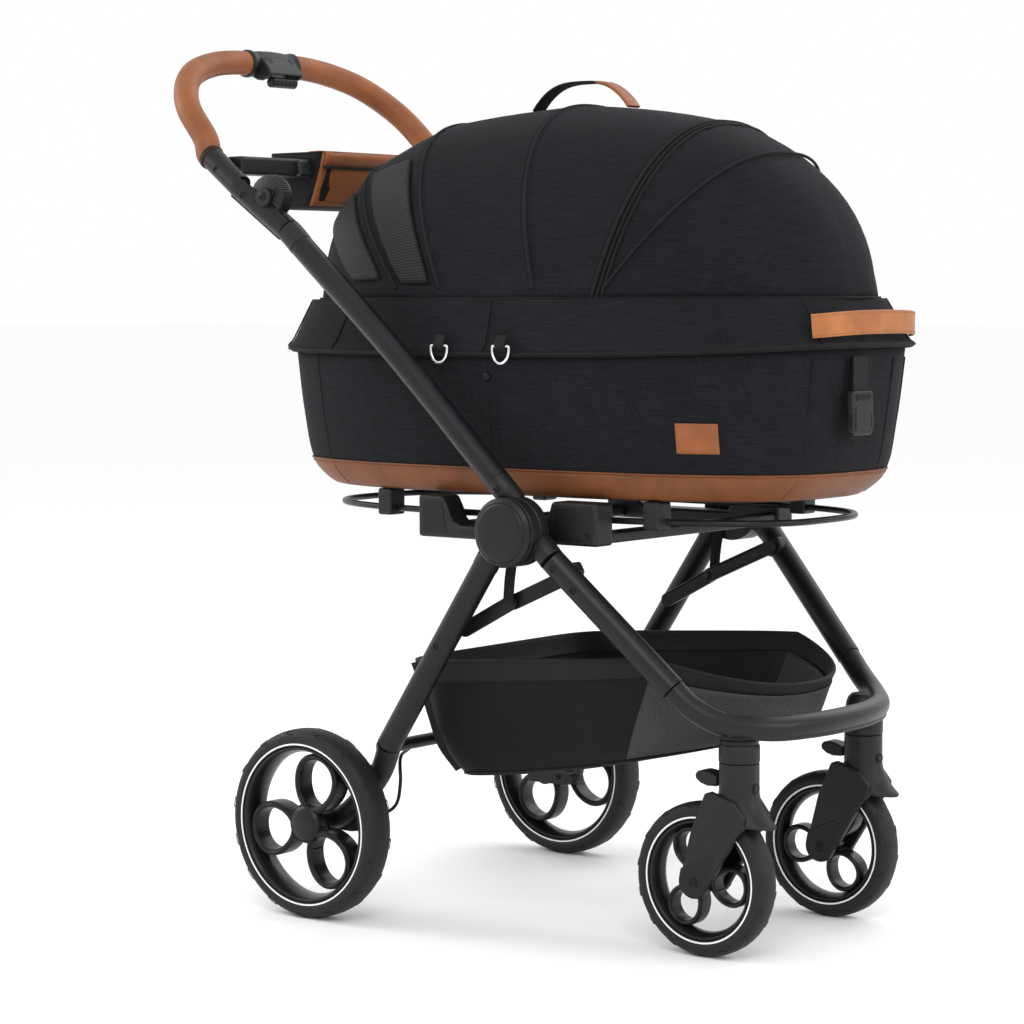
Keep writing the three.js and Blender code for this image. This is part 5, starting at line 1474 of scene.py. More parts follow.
# Carrier tub. The removable cabin's lower half is charcoal slub cloth over a foam-padded wall,
# sewn from panels with vertical seams, with a leather band round its foot.
def slub_cloth(name, colour, streak=0.34, roughness=0.9):
    """Heathered cloth: long slubs in warp and weft over a fine plain weave."""
    material = bpy.data.materials.new(name)
    material.use_nodes = True
    nodes, links = material.node_tree.nodes, material.node_tree.links
    shader = nodes["Principled BSDF"]
    shader.inputs["Roughness"].default_value = roughness
    shader.inputs["Sheen Weight"].default_value = 0.025
    shader.inputs["Sheen Roughness"].default_value = 0.4
    shader.inputs["Sheen Tint"].default_value = (0.85, 0.88, 1.0, 1)
    shader.inputs["Specular IOR Level"].default_value = 0.14
    cloth = nodes.new("ShaderNodeUVMap")
    cloth.uv_map = "cloth"
    yarns = []
    for scale in ((26, 620, 1), (620, 30, 1)):
        turn = nodes.new("ShaderNodeMapping")
        turn.inputs["Scale"].default_value = scale
        links.new(cloth.outputs["UV"], turn.inputs["Vector"])
        slub = nodes.new("ShaderNodeTexNoise")
        slub.noise_dimensions = "2D"
        slub.inputs["Scale"].default_value = 1
        slub.inputs["Detail"].default_value = 2
        slub.inputs["Roughness"].default_value = 0.6
        links.new(turn.outputs["Vector"], slub.inputs["Vector"])
        yarns.append(slub)
    crossed = nodes.new("ShaderNodeMath")
    crossed.operation = "ADD"
    links.new(yarns[0].outputs["Fac"], crossed.inputs[0])
    links.new(yarns[1].outputs["Fac"], crossed.inputs[1])
    tint = nodes.new("ShaderNodeMapRange")
    tint.inputs["From Min"].default_value = 0.72
    tint.inputs["From Max"].default_value = 1.3
    tint.inputs["To Min"].default_value = 0
    tint.inputs["To Max"].default_value = 1
    links.new(crossed.outputs["Value"], tint.inputs["Value"])
    ramp = nodes.new("ShaderNodeValToRGB")
    ramp.color_ramp.elements[0].color = (*[c * (1 - streak) for c in colour], 1)
    ramp.color_ramp.elements[1].color = (*[c * (1 + streak * 1.5) for c in colour], 1)
    links.new(tint.outputs["Result"], ramp.inputs["Fac"])
    links.new(ramp.outputs["Color"], shader.inputs["Base Color"])
    relief = nodes.new("ShaderNodeBump")
    relief.inputs["Strength"].default_value = 0.5
    relief.inputs["Distance"].default_value = 0.0005
    links.new(crossed.outputs["Value"], relief.inputs["Height"])
    links.new(relief.outputs["Normal"], shader.inputs["Normal"])
    return material


charcoal = slub_cloth("charcoal_slub", (0.0078, 0.0082, 0.01))
charcoal_trim = grained("charcoal_trim", (0.0066, 0.0069, 0.0084), 0.9, 0.8, 1500)
carrier_x = 0.235
half_long, half_wide = 0.4225, 0.213
rim_z, skirt_z = 0.697, 0.765
around = 192
tub_profile = smooth_path(
    [
        (0.53, 0.072, 0.035), (0.536, 0.062, 0.028), (0.56, 0.036, 0.021), (0.62, 0.023, 0.013),
        (0.7015, 0.012, 0.008)
    ],
    6
)


def oval_ring(centre, half_length, half_width, z, power=3.0, count=around):
    """A rounded-oval ring of points at a height."""
    ring = []
    for i in range(count):
        turn = 2 * math.pi * i / count
        c, s = math.cos(turn), math.sin(turn)
        x = centre + math.copysign(half_length * abs(c) ** (2 / power), c)
        ring.append(at(x, math.copysign(half_width * abs(s) ** (2 / power), s), z))
    return ring




def rim_rise(x, share):
    """The rim line lifts towards the nose and dips a little at the sides."""
    ahead = (x - carrier_x) / half_long
    return share * (0.0125 * max(0.0, ahead) ** 2.2 + 0.003 * max(0.0, -ahead) ** 2.2 - 0.0028)


tub_rings = [oval_ring(carrier_x, half_long - dx, half_wide - dy, z) for z, dx, dy in tub_profile]
for ring in tub_rings:
    for p in ring:
        p.z += rim_rise(p.x - axle_x, max(0.0, (p.z - 0.6) / 0.0966) ** 1.5)
tub = cloth_skin("cabin_tub", tub_rings, charcoal, "carrier", "charcoal_fabric", wall=0.005)
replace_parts(tub, "carrier_tub")
floor_rings = [
    oval_ring(carrier_x, (half_long - 0.072) * k, (half_wide - 0.035) * k, 0.5302)
    for k in (1.0, 0.8, 0.5, 0.2, 0.02)
]
under_cloth = grained("base_cloth", (0.0052, 0.0054, 0.0062), 0.85, 0.9, 1500)
base = cloth_skin("cabin_base", floor_rings, under_cloth, "carrier", "black_fabric", wall=-0.005, crease=0)


def tub_at(turn, z, offset=0.0):
    """A point on the tub at an angle round it and a height."""
    for (z0, dx0, dy0), (z1, dx1, dy1) in zip(tub_profile, tub_profile[1:]):
        if z <= z1 or z1 == tub_profile[-1][0]:
            share = max(0.0, min(1.0, (z - z0) / (z1 - z0)))
            dx, dy = dx0 + (dx1 - dx0) * share, dy0 + (dy1 - dy0) * share
            break
    c, s = math.cos(turn), math.sin(turn)
    x = carrier_x + math.copysign((half_long - dx + offset) * abs(c) ** (2 / 3), c)
    return at(x, math.copysign((half_wide - dy + offset) * abs(s) ** (2 / 3), s), z)


band_levels = [0.5306, 0.533, 0.537, 0.543, 0.55, 0.556, 0.5615]
band_rings = [[tub_at(2 * math.pi * i / around, z, 0.0014) for i in range(around)] for z in band_levels]
band = cloth_skin("base_band", band_rings, band_leather, "carrier", "leather", wall=0.0012, crease=0.0002)
edge = [tub_at(2 * math.pi * i / 96, 0.5618, 0.0014) for i in range(96)]
swept("base_band_edge", edge, circle(0.0011, 8), band_leather, "carrier", "leather", closed=True)
stitches(
    "base_band_stitches", [tub_at(2 * math.pi * i / 240, 0.5578, 0.0019) for i in range(241)], 0.0055,
    tan_thread, "carrier", "leather", 0.0004
)
for i, degrees in enumerate((-128, -62, -20, 20, 62, 128)):
    line = [tub_at(math.radians(degrees), z, 0.0012) for z in (0.5335, 0.54, 0.55, 0.561)]
    tube(f"base_band_seam_{i}", line, 0.001, band_leather, "carrier", "leather", sides=8)
for i, degrees in enumerate((-166, -128, -90, -20.5, -7, 7, 20.5, 90, 128, 166)):
    line = [tub_at(math.radians(degrees), 0.5625 + 0.0132 * k, 0.0001) for k in range(11)]
    tube(f"tub_seam_{i}", line, 0.0008, black_thread, "carrier", "charcoal_fabric", per_span=3, sides=8)
    for row in (-1, 1):
        beside = [tub_at(math.radians(degrees) + row * 0.006, 0.564 + 0.013 * k, 0.0002) for k in range(11)]
        stitches(
            f"tub_seam_stitches_{i}_{'a' if row > 0 else 'b'}", beside, 0.0042, black_thread, "carrier",
            "charcoal_fabric", 0.0004
        )

# Side patch. A plain leather label with a stitched border is sewn low on the right side, and a
# press stud sits under the rings.
def tub_side(x, z, offset=0.0):
    """A point on the tub's right side at a distance ahead of the axle."""
    for (z0, dx0, dy0), (z1, dx1, dy1) in zip(tub_profile, tub_profile[1:]):
        if z <= z1:
            share = max(0.0, (z - z0) / (z1 - z0))
            dx, dy = dx0 + (dx1 - dx0) * share, dy0 + (dy1 - dy0) * share
            break
    reach = abs(x - carrier_x) / (half_long - dx)
    return at(x, -((1 - reach**3) ** (1 / 3)) * (half_wide - dy) - offset, z)


patch_x, patch_z, patch_half_x, patch_half_z = 0.5165, 0.6045, 0.024, 0.0175
rows = []
for k in range(9):
    z = patch_z - patch_half_z + 2 * patch_half_z * k / 8
    rows.append(
        [tub_side(patch_x - patch_half_x + 2 * patch_half_x * i / 16, z, 0.0021) for i in range(17)]
    )
patch = cloth_skin(
    "side_patch", rows, saddle_leather, "carrier", "leather", wall=0.0018, crease=0, closed=False
)
border = []
for x0, z0, x1, z1 in ((-1, -1, 1, -1), (1, -1, 1, 1), (1, 1, -1, 1), (-1, 1, -1, -1)):
    for k in range(10):
        share = k / 10
        x, z = x0 + (x1 - x0) * share, z0 + (z1 - z0) * share
        border.append(
            tub_side(patch_x + x * (patch_half_x - 0.003), patch_z + z * (patch_half_z - 0.003), 0.0023)
        )
stitches("side_patch_stitches", border + [border[0]], 0.0032, tan_thread, "carrier", "leather", 0.0004)
stud = tub_side(0.236, 0.672)
turned(
    "press_stud",
    [
        (1e-5, 0.0035), (0.003, 0.0034), (0.0046, 0.0026), (0.0054, 0.001), (0.0054, -0.001), (1e-5, -0.001)
    ][::-1],
    stud, dark_steel, "carrier", "dark_steel", sides=32
).data.transform(Matrix.Translation(stud) @ Matrix.Rotation(math.pi, 4, "X") @ Matrix.Translation(-stud))

# Mattress. A tufted pad of polyester fleece, soft enough to swell between its tufts, lies loose
# on the floor of the tub.
plush = grained("mattress_plush", (0.009, 0.009, 0.01), 0.95, 1.0, 700, mottle=0.25)
pad_levels = [
    (0.5405, 0.079, 0.046), (0.544, 0.071, 0.042), (0.555, 0.062, 0.044), (0.564, 0.066, 0.048),
    (0.5665, 0.078, 0.06)
]
pad_rings = [oval_ring(carrier_x, half_long - dx, half_wide - dy, z, count=96) for z, dx, dy in pad_levels]
pad_points = [p for ring in pad_rings for p in ring]
pad_faces = []
for level in range(len(pad_rings) - 1):
    for i in range(96):
        j = (i + 1) % 96
        pad_faces.append((level * 96 + i, level * 96 + j, (level + 1) * 96 + j, (level + 1) * 96 + i))
pad_faces += [tuple(range(95, -1, -1)), tuple(4 * 96 + i for i in range(96))]
pad = build("sleeping_pad", pad_points, pad_faces, plush, "carrier", "black_fabric")


def inflate(piece, voxel, pressure, cap):
    """Swells a closed form as stuffed cloth, and keeps each point within a cap of its start."""
    remesh = piece.modifiers.new("remesh", "REMESH")
    remesh.mode = "VOXEL"
    remesh.voxel_size = voxel
    apply_all(piece)
    start = [v.co.copy() for v in piece.data.vertices]
    cloth = piece.modifiers.new("cloth", "CLOTH")
    cloth.settings.use_pressure = True
    cloth.settings.uniform_pressure_force = pressure
    cloth.settings.effector_weights.gravity = 0
    cloth.point_cache.frame_start = 1
    cloth.point_cache.frame_end = 20
    for number in range(1, 21):
        bpy.context.scene.frame_set(number)
    apply_all(piece)
    bpy.context.scene.frame_set(1)
    for v, p in zip(piece.data.vertices, start):
        moved = v.co - p
        if moved.length > cap:
            v.co = p + moved.normalized() * cap
    return piece


inflate(pad, 0.006, 3.0, 0.005)
low, high = 0.5388, 0.5718
for v in pad.data.vertices:
    tuft = 0.0035 * (abs(math.sin(v.co.x * 26)) * abs(math.sin(v.co.y * 26))) ** 0.4
    if v.co.z > 0.558:
        v.co.z += tuft - 0.003
    v.co.z = max(low, min(high, v.co.z))
subdivide = pad.modifiers.new("subdivide", "SUBSURF")
subdivide.levels = 1
apply_all(pad)
pad.data.polygons.foreach_set("use_smooth", [True] * len(pad.data.polygons))
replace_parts(pad, "mattress")

# Canopy. One sheet of the same cloth is drawn over sewn-in bows from a piped collar that laps
# over the tub's rim, with mesh windows at the tail and a zipped arch in front.
dome_height = 0.237
dome_lean = -0.035
dome_long, dome_wide = half_long - 0.036, half_wide - 0.023
collar_profile = smooth_path(
    [
        (0.6976, 0.0055, 0.0045), (0.7003, 0.0015, 0.0012), (0.7035, 0.0003, 0.0003),
        (0.7075, 0.0025, 0.002), (0.711, 0.006, 0.0045), (0.735, 0.02, 0.0115), (0.76, 0.0345, 0.018),
        (0.764, 0.0368, 0.02)
    ],
    3
)
ribs = [(0.085, -0.82), (0.155, -0.444), (0.296, -0.235), (0.385, 0.3134)]


def dome_ring(rise, extra=0.0, count=around):
    height = dome_height + extra
    scale = (1 - min(rise / height, 0.99999) ** 2.31) ** (1 / 2.31)
    return oval_ring(
        carrier_x + dome_lean * rise, (dome_long + extra) * scale, (dome_wide + extra) * scale,
        skirt_z + rise, 2.5, count
    )


def dome_side(x, y, rise, offset):
    """Below one inside the dome, above one outside."""
    height = dome_height + offset
    if rise >= height:
        return 2.0
    scale = (1 - (max(rise, 0) / height) ** 2.31) ** (1 / 2.31)
    u = abs(x - carrier_x - dome_lean * rise) / ((dome_long + offset) * scale)
    v = abs(y) / ((dome_wide + offset) * scale)
    return u**2.5 + v**2.5


def dome_at(foot, slope, turn, offset=0.0):
    """A point on the dome in the leaning plane of a bow, at an angle round its arch."""
    low, high = 0.0, 0.5
    c, s = math.cos(turn), math.sin(turn)
    for _ in range(26):
        reach = (low + high) / 2
        if dome_side(foot + slope * reach * s, reach * c, reach * s, offset) < 1:
            low = reach
        else:
            high = reach
    return at(foot + slope * low * s, low * c, skirt_z + low * s)


def settle(point):
    """How far the cloth dips between the bows at a point."""
    x, rise = point.x - axle_x, max(point.z - skirt_z, 0)
    planes = [foot + slope * rise for foot, slope in ribs] + [0.385 + 0.26 + 0.75 * rise]
    planes.insert(0, carrier_x - dome_long - 0.04)
    for a, b in zip(planes, planes[1:]):
        if a <= x <= b and b > a:
            share = (x - a) / (b - a)
            return 0.004 * (4 * share * (1 - share)) ** 0.8
    return 0.0


shares = [
    0.0, 0.03, 0.07, 0.12, 0.18, 0.24, 0.3, 0.36, 0.42, 0.48, 0.54, 0.6, 0.66, 0.72, 0.77, 0.82, 0.86,
    0.895, 0.925, 0.95, 0.97, 0.984, 0.993, 0.998, 0.9997
]
rings = [dome_ring(share * dome_height) for share in shares]
dipped = []
for share, ring in zip(shares, rings):
    fade = min(1.0, share * 9)
    row = []
    for p in ring:
        inward = Vector((carrier_x + axle_x - p.x, -p.y * 2.2, (skirt_z - p.z) * 1.8))
        row.append(p + inward.normalized() * settle(p) * fade)
    dipped.append(row)
arch_foot = at(0.385, 0, skirt_z)
arch_normal = Vector((math.cos(math.radians(17.4)), 0, -math.sin(math.radians(17.4))))


def half_dome(name, keep_front, gap, body, slot):
    """The part of the dome's cloth on one side of the zipped arch."""
    count = len(dipped[0])
    uvs = cloth_uvs(dipped)
    faces = []
    for level in range(len(dipped) - 1):
        for i in range(count):
            j = (i + 1) % count
            faces.append(
                (level * count + i, level * count + j, (level + 1) * count + j, (level + 1) * count + i)
            )
    faces.append(tuple((len(dipped) - 1) * count + i for i in range(count)))
    points = [
        p + Vector((noise.noise(p * 7), noise.noise(p * 7 + Vector((3, 0, 0))), 0)) * 0.0009
        for row in dipped for p in row
    ]
    piece = build(name, points, faces, charcoal, body, slot, uvs=uvs)
    cut = bmesh.new()
    cut.from_mesh(piece.data)
    everything = cut.verts[:] + cut.edges[:] + cut.faces[:]
    way = -1 if keep_front else 1
    bmesh.ops.bisect_plane(
        cut, geom=everything, plane_co=arch_foot - arch_normal * way * gap, plane_no=arch_normal * way,
        clear_outer=True
    )
    cut.to_mesh(piece.data)
    cut.free()
    thicken = piece.modifiers.new("thicken", "SOLIDIFY")
    thicken.thickness = 0.0032
    thicken.offset = -1
    return apply_all(piece)


shell = half_dome("canopy_shell", False, 0.0, "carrier", "charcoal_fabric")
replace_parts(shell, "canopy")
collar_rings = [oval_ring(carrier_x, half_long - dx, half_wide - dy, z) for z, dx, dy in collar_profile]
for level, ring in enumerate(collar_rings):
    lift = 0.0016 * math.sin(math.pi * level / (len(collar_rings) - 1))
    for i, p in enumerate(ring):
        wave = noise.noise(Vector((p.x * 11, p.y * 11, 4.0))) * lift
        raised = Vector((0, 0, rim_rise(p.x - axle_x, 1 - level / (len(collar_rings) - 1))))
        ring[i] = p + Vector((p.x - axle_x - carrier_x, p.y, 0)).normalized() * (wave - lift) + raised
collar = cloth_skin(
    "canopy_collar", collar_rings, charcoal, "carrier", "charcoal_fabric", wall=0.003, crease=0.0004, seed=5
)
lip = oval_ring(carrier_x, half_long - 0.0022, half_wide - 0.002, 0.7018, count=144)
for p in lip:
    p.z += rim_rise(p.x - axle_x, 1)
swept("collar_piping", lip, circle(0.0022, 12), under_cloth, "carrier", "black_fabric", closed=True)
skirt_line = oval_ring(carrier_x, dome_long + 0.0002, dome_wide + 0.0006, 0.7648, 2.6, count=144)
swept("skirt_piping", skirt_line, circle(0.0014, 10), under_cloth, "carrier", "black_fabric", closed=True)


def collar_at(turn, share, offset=0.0):
    """A point on the collar at an angle round it and a share of its height."""
    z, dx, dy = collar_profile[min(int(share * (len(collar_profile) - 1)), len(collar_profile) - 1)]
    c, s = math.cos(turn), math.sin(turn)
    x = carrier_x + math.copysign((half_long - dx + offset) * abs(c) ** (2 / 3), c)
    z += rim_rise(x, 1 - share)
    return at(x, math.copysign((half_wide - dy + offset) * abs(s) ** (2 / 3), s), z)


for i, degrees in enumerate((-152, -118, -90, -48, -19, 19, 48, 90, 118, 152)):
    line = [collar_at(math.radians(degrees), k / 10, 0.0) for k in range(3, 11)]
    tube(f"collar_seam_{i}", line, 0.001, black_thread, "carrier", "charcoal_fabric", per_span=3, sides=8)
stitches(
    "collar_stitches", [collar_at(2 * math.pi * i / 300, 0.36, 0.0003) for i in range(301)], 0.0048,
    black_thread, "carrier", "charcoal_fabric", 0.0005
)

for i, (foot, slope) in enumerate(ribs[:3]):
    arch = [dome_at(foot, slope, math.pi * k / 48, -0.001) for k in range(1, 48)]
    tube(f"canopy_bow_{i}", arch, 0.0026, charcoal_trim, "carrier", "charcoal_fabric", per_span=2, sides=14)
    for row in (-1, 1):
        beside = [dome_at(foot + row * 0.0062, slope, math.pi * k / 60, 0.0) for k in range(2, 59)]
        stitches(
            f"canopy_bow_stitches_{i}_{'a' if row > 0 else 'b'}", beside, 0.0045, black_thread, "carrier",
            "charcoal_fabric", 0.0004
        )
zip_arch = [dome_at(0.385 - 0.003, 0.3134, math.pi * k / 60, 0.0002) for k in range(61)]
tube("arch_zip_rear", zip_arch, 0.0018, under_cloth, "carrier", "black_fabric", per_span=2, sides=12)
tape = [dome_at(0.385 - 0.0095, 0.3134, math.pi * k / 60, 0.0002) for k in range(61)]
tube("arch_piping", tape, 0.0024, under_cloth, "carrier", "black_fabric", per_span=2, sides=12)
stitches(
    "arch_stitches", [dome_at(0.385 - 0.016, 0.3134, math.pi * k / 60, 0.0) for k in range(2, 59)], 0.0045,
    black_thread, "carrier", "charcoal_fabric", 0.0004
)

# Mesh windows. Two panels of open knitted net are let into each side of the canopy's tail.
def net_cloth(name, colour, gap_colour, pitch, thread=0.42, roughness=0.6):
    """Knitted net: rows of small openings set in a zig-zag."""
    material = bpy.data.materials.new(name)
    material.use_nodes = True
    nodes, links = material.node_tree.nodes, material.node_tree.links
    shader = nodes["Principled BSDF"]
    shader.inputs["Roughness"].default_value = roughness
    shader.inputs["Specular IOR Level"].default_value = 0.2
    cloth = nodes.new("ShaderNodeUVMap")
    cloth.uv_map = "cloth"
    zig = nodes.new("ShaderNodeTexWave")
    zig.wave_type = "BANDS"
    zig.bands_direction = "Y"
    zig.wave_profile = "TRI"
    zig.inputs["Scale"].default_value = 2 * math.pi / (20 * pitch * 3)
    spread = nodes.new("ShaderNodeTexVoronoi")
    spread.inputs["Scale"].default_value = 1 / pitch
    spread.inputs["Randomness"].default_value = 0.12
    links.new(cloth.outputs["UV"], zig.inputs["Vector"])
    shift = nodes.new("ShaderNodeVectorMath")
    shift.operation = "MULTIPLY_ADD"
    shift.inputs[1].default_value = (pitch * 2.2, 0, 0)
    links.new(zig.outputs["Color"], shift.inputs[0])
    links.new(cloth.outputs["UV"], shift.inputs[2])
    links.new(shift.outputs["Vector"], spread.inputs["Vector"])
    hole = nodes.new("ShaderNodeMapRange")
    hole.inputs["From Min"].default_value = thread - 0.1
    hole.inputs["From Max"].default_value = thread + 0.04
    links.new(spread.outputs["Distance"], hole.inputs["Value"])
    ramp = nodes.new("ShaderNodeValToRGB")
    ramp.color_ramp.elements[0].color = (*gap_colour, 1)
    ramp.color_ramp.elements[1].color = (*colour, 1)
    links.new(hole.outputs["Result"], ramp.inputs["Fac"])
    links.new(ramp.outputs["Color"], shader.inputs["Base Color"])
    relief = nodes.new("ShaderNodeBump")
    relief.inputs["Strength"].default_value = 0.7
    relief.inputs["Distance"].default_value = 0.0005
    links.new(hole.outputs["Result"], relief.inputs["Height"])
    links.new(relief.outputs["Normal"], shader.inputs["Normal"])
    return material


window_net = net_cloth("window_net", (0.0042, 0.0044, 0.005), (0.03, 0.031, 0.034), 0.004, 0.36)
windows = [("tail", (0.01, -1.1), (0.07, -0.9), 8, 50), ("side", (0.098, -0.76), (0.142, -0.5), 6, 54)]
for label, (foot_a, slope_a), (foot_b, slope_b), from_degrees, to_degrees in windows:
    for side, s in sides:
        rows = []
        for k in range(25):
            degrees = from_degrees + (to_degrees - from_degrees) * k / 24
            turn = math.radians(degrees if s > 0 else 180 - degrees)
            row = []
            for i in range(15):
                share = i / 14
                rounding = 0.06 * (abs(2 * k / 24 - 1) ** 6)
                share = rounding + share * (1 - 2 * rounding)
                row.append(
                    dome_at(
                        foot_a + (foot_b - foot_a) * share, slope_a + (slope_b - slope_a) * share, turn,
                        0.0002
                    )
                )
            rows.append(row)
        net = cloth_skin(
            f"window_{label}_{side}", rows, window_net, "carrier", "mesh_fabric", wall=0.0012 * s, crease=0,
            closed=False
        )
        rim = (
            [row[0] for row in rows] + rows[-1][1:] + [row[-1] for row in reversed(rows[:-1])]
            + rows[0][-2:0:-1]
        )
        swept(
            f"window_binding_{label}_{side}", rim, circle(0.0014, 8), under_cloth, "carrier",
            "black_fabric", closed=True
        )

# Hood. The front of the canopy is a zipped panel over one sprung steel bow, which swings back
# towards the arch and gathers the cloth.
hood_panel = half_dome("hood_panel", True, 0.0006, "carrier", "charcoal_fabric")
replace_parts(hood_panel, "hood")
bow_lean = math.radians(40.3)


def bow_at(turn, inset):
    towards = (math.sin(turn) * math.sin(bow_lean), math.cos(turn), math.sin(turn) * math.cos(bow_lean))
    low, high = 0.0, 0.5
    for _ in range(26):
        reach = (low + high) / 2
        if dome_side(
            0.385 + reach * towards[0], reach * towards[1], reach * towards[2] + 0.004, -inset
        ) < 1:
            low = reach
        else:
            high = reach
    return at(0.385 + low * towards[0], low * towards[1], skirt_z + 0.004 + low * towards[2])


bow = tube(
    "hood_wire", [bow_at(math.pi * k / 30, 0.011) for k in range(31)], 0.003, dark_steel, "hood_bow",
    "dark_steel", per_span=2, sides=12
)
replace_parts(bow, "hood_bow")
hood_parts = [hood_panel]
piping = [bow_at(math.pi * k / 48, -0.0004) for k in range(1, 48)]
hood_parts.append(
    tube(
        "hood_bow_piping", piping, 0.0019, charcoal_trim, "carrier", "charcoal_fabric", per_span=2, sides=10
    )
)
zip_front = [dome_at(0.385 + 0.0034, 0.3134, math.pi * k / 60, 0.0002) for k in range(61)]
hood_parts.append(
    tube("hood_zip", zip_front, 0.0018, under_cloth, "carrier", "black_fabric", per_span=2, sides=12)
)
for part in hood_parts:
    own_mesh(part)

# Carry strap. Black webbing with a stitched leather end stands in an arch over the canopy's
# crest, and both its ends meet the cloth there.
crest = skirt_z + dome_height
strap_arch = []
for i in range(25):
    t = -1 + i / 12
    strap_arch.append(at(0.23 + 0.0735 * t, 0, crest - 0.004 + 0.0325 * (1 - abs(t) ** 3)))
web = swept(
    "carry_webbing", strap_arch[:18], rounded_section(0.003, 0.0236, 0.0012), webbing, "carrier", "leather",
    up=(0, 1, 0)
)
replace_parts(web, "carry_strap")
swept(
    "carry_strap_end", smooth_path(strap_arch[16:], 3), rounded_section(0.004, 0.025, 0.0016),
    saddle_leather, "carrier", "leather", up=(0, 1, 0)
)
for row in (-1, 1):
    line = [p + Vector((0, row * 0.01, 0.0022)) for p in smooth_path(strap_arch[17:], 3)]
    stitches(
        f"carry_strap_stitches_{'a' if row > 0 else 'b'}", line, 0.0045, tan_thread, "carrier", "leather",
        0.0005
    )

# Nose handle. A flat leather grab handle lies across the nose, against the collar at its ends
# and standing off it in the middle, with a row of stitches along each edge.
def outline_at(degrees, dx, dy, offset, z):
    turn = math.radians(degrees)
    c, s = math.cos(turn), math.sin(turn)
    x = carrier_x + math.copysign((half_long - dx + offset) * abs(c) ** (2 / 3), c)
    return at(x, math.copysign((half_wide - dy + offset) * abs(s) ** (2 / 3), s), z)


grab = []
for i in range(33):
    t = i / 32
    grab.append(
        outline_at(
            -22 + 44 * t, 0.014, 0.01, 0.006 + 0.0112 * math.sin(math.pi * t) ** 0.7,
            0.7325 + 0.0045 * math.sin(math.pi * t)
        )
    )
handle = swept(
    "nose_grab", grab, rounded_section(0.0038, 0.0276, 0.0014), tan_leather, "carrier", "leather",
    up=(0, 0, 1)
)
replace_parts(handle, "nose_handle")
for row, z in (("upper", 0.0112), ("lower", -0.0112)):
    line = []
    for i, p in enumerate(grab):
        ahead = (grab[min(i + 1, 32)] - grab[max(i - 1, 0)]).normalized()
        out = ahead.cross(Vector((0, 0, 1)))
        line.append(p + out.normalized() * 0.002 + Vector((0, 0, z)))
    stitches(f"nose_grab_stitches_{row}", line, 0.0046, tan_thread, "carrier", "leather", 0.0005)

# Buckle. A moulded side-release buckle hangs on a webbing tail at the nose, and closes the
# canopy to a second tab of webbing on the tub.
buckle_low, buckle_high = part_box("buckle")
buckle_middle = (buckle_low + buckle_high) / 2
buckle_turn = Matrix.Rotation(math.radians(-3.7), 3, "Z")


def board(name, outline, x0, x1, material, slot, bevel):
    """A flat plate that faces the nose, from an outline of (y, z) points about the buckle's axis."""
    count = len(outline)
    points = [
        Vector((buckle_middle.x, buckle_middle.y, 0)) + buckle_turn @ Vector((x, y, z)) for x in (x0, x1)
        for y,
        z in outline
    ]
    faces = [tuple(range(count)), tuple(range(2 * count - 1, count - 1, -1))]
    faces += [(i, (i + 1) % count, count + (i + 1) % count, count + i) for i in range(count)]
    return bevelled(build(name, points, faces, material, "carrier", slot), bevel)


top_z = rim_z + 0.004
under_z = rim_z - 0.038


def oblong(half, low, high):
    """Corners of an upright oblong about the buckle's axis."""
    return [(-half, low), (half, low), (half, high), (-half, high)]


board(
    "buckle_webbing", oblong(0.0138, top_z - 0.044, top_z - 0.003), -0.0012, 0.001, webbing, "black_fabric",
    0.0006
)
board(
    "buckle_tab", oblong(0.0138, under_z - 0.056, under_z - 0.03), -0.0052, -0.0034, webbing,
    "black_fabric", 0.0006
)
shell_line = [
    (-0.0206, -0.044), (-0.019, -0.05), (-0.014, -0.0518), (0.014, -0.0518), (0.019, -0.05),
    (0.0206, -0.044)
]
shell_line += [(0.0206, -0.003), (0.019, -0.0006), (-0.019, -0.0006), (-0.0206, -0.003)]
shell_line = [(y, under_z + z) for y, z in shell_line]
clip = board("buckle_shell", shell_line, -0.0042, 0.0046, moulding, "moulded_plastic", 0.0022)
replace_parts(clip, "buckle")
board(
    "buckle_face", oblong(0.0145, under_z - 0.046, under_z - 0.018), 0.004, 0.0056, moulding,
    "moulded_plastic", 0.0012
)
# The strap slot is not cut: a plate of the darker moulding behind the webbing's fold is painted shade in
# the opening.
board(
    "buckle_slot_painted_shade", oblong(0.0142, under_z - 0.0125, under_z - 0.003), 0.0036, 0.0051, dark_moulding,
    "moulded_plastic", 0.0008
)
board(
    "buckle_fold", oblong(0.0135, under_z - 0.0108, under_z - 0.0048), 0.0042, 0.0057, webbing,
    "black_fabric", 0.0006
)
for name, y in (("left", 0.0186), ("right", -0.0186)):
    prong = [(y + edge, z) for edge, z in oblong(0.0022, under_z - 0.043, under_z - 0.027)]
    board(f"buckle_prong_{name}", prong, -0.003, 0.0052, dark_moulding, "moulded_plastic", 0.0008)

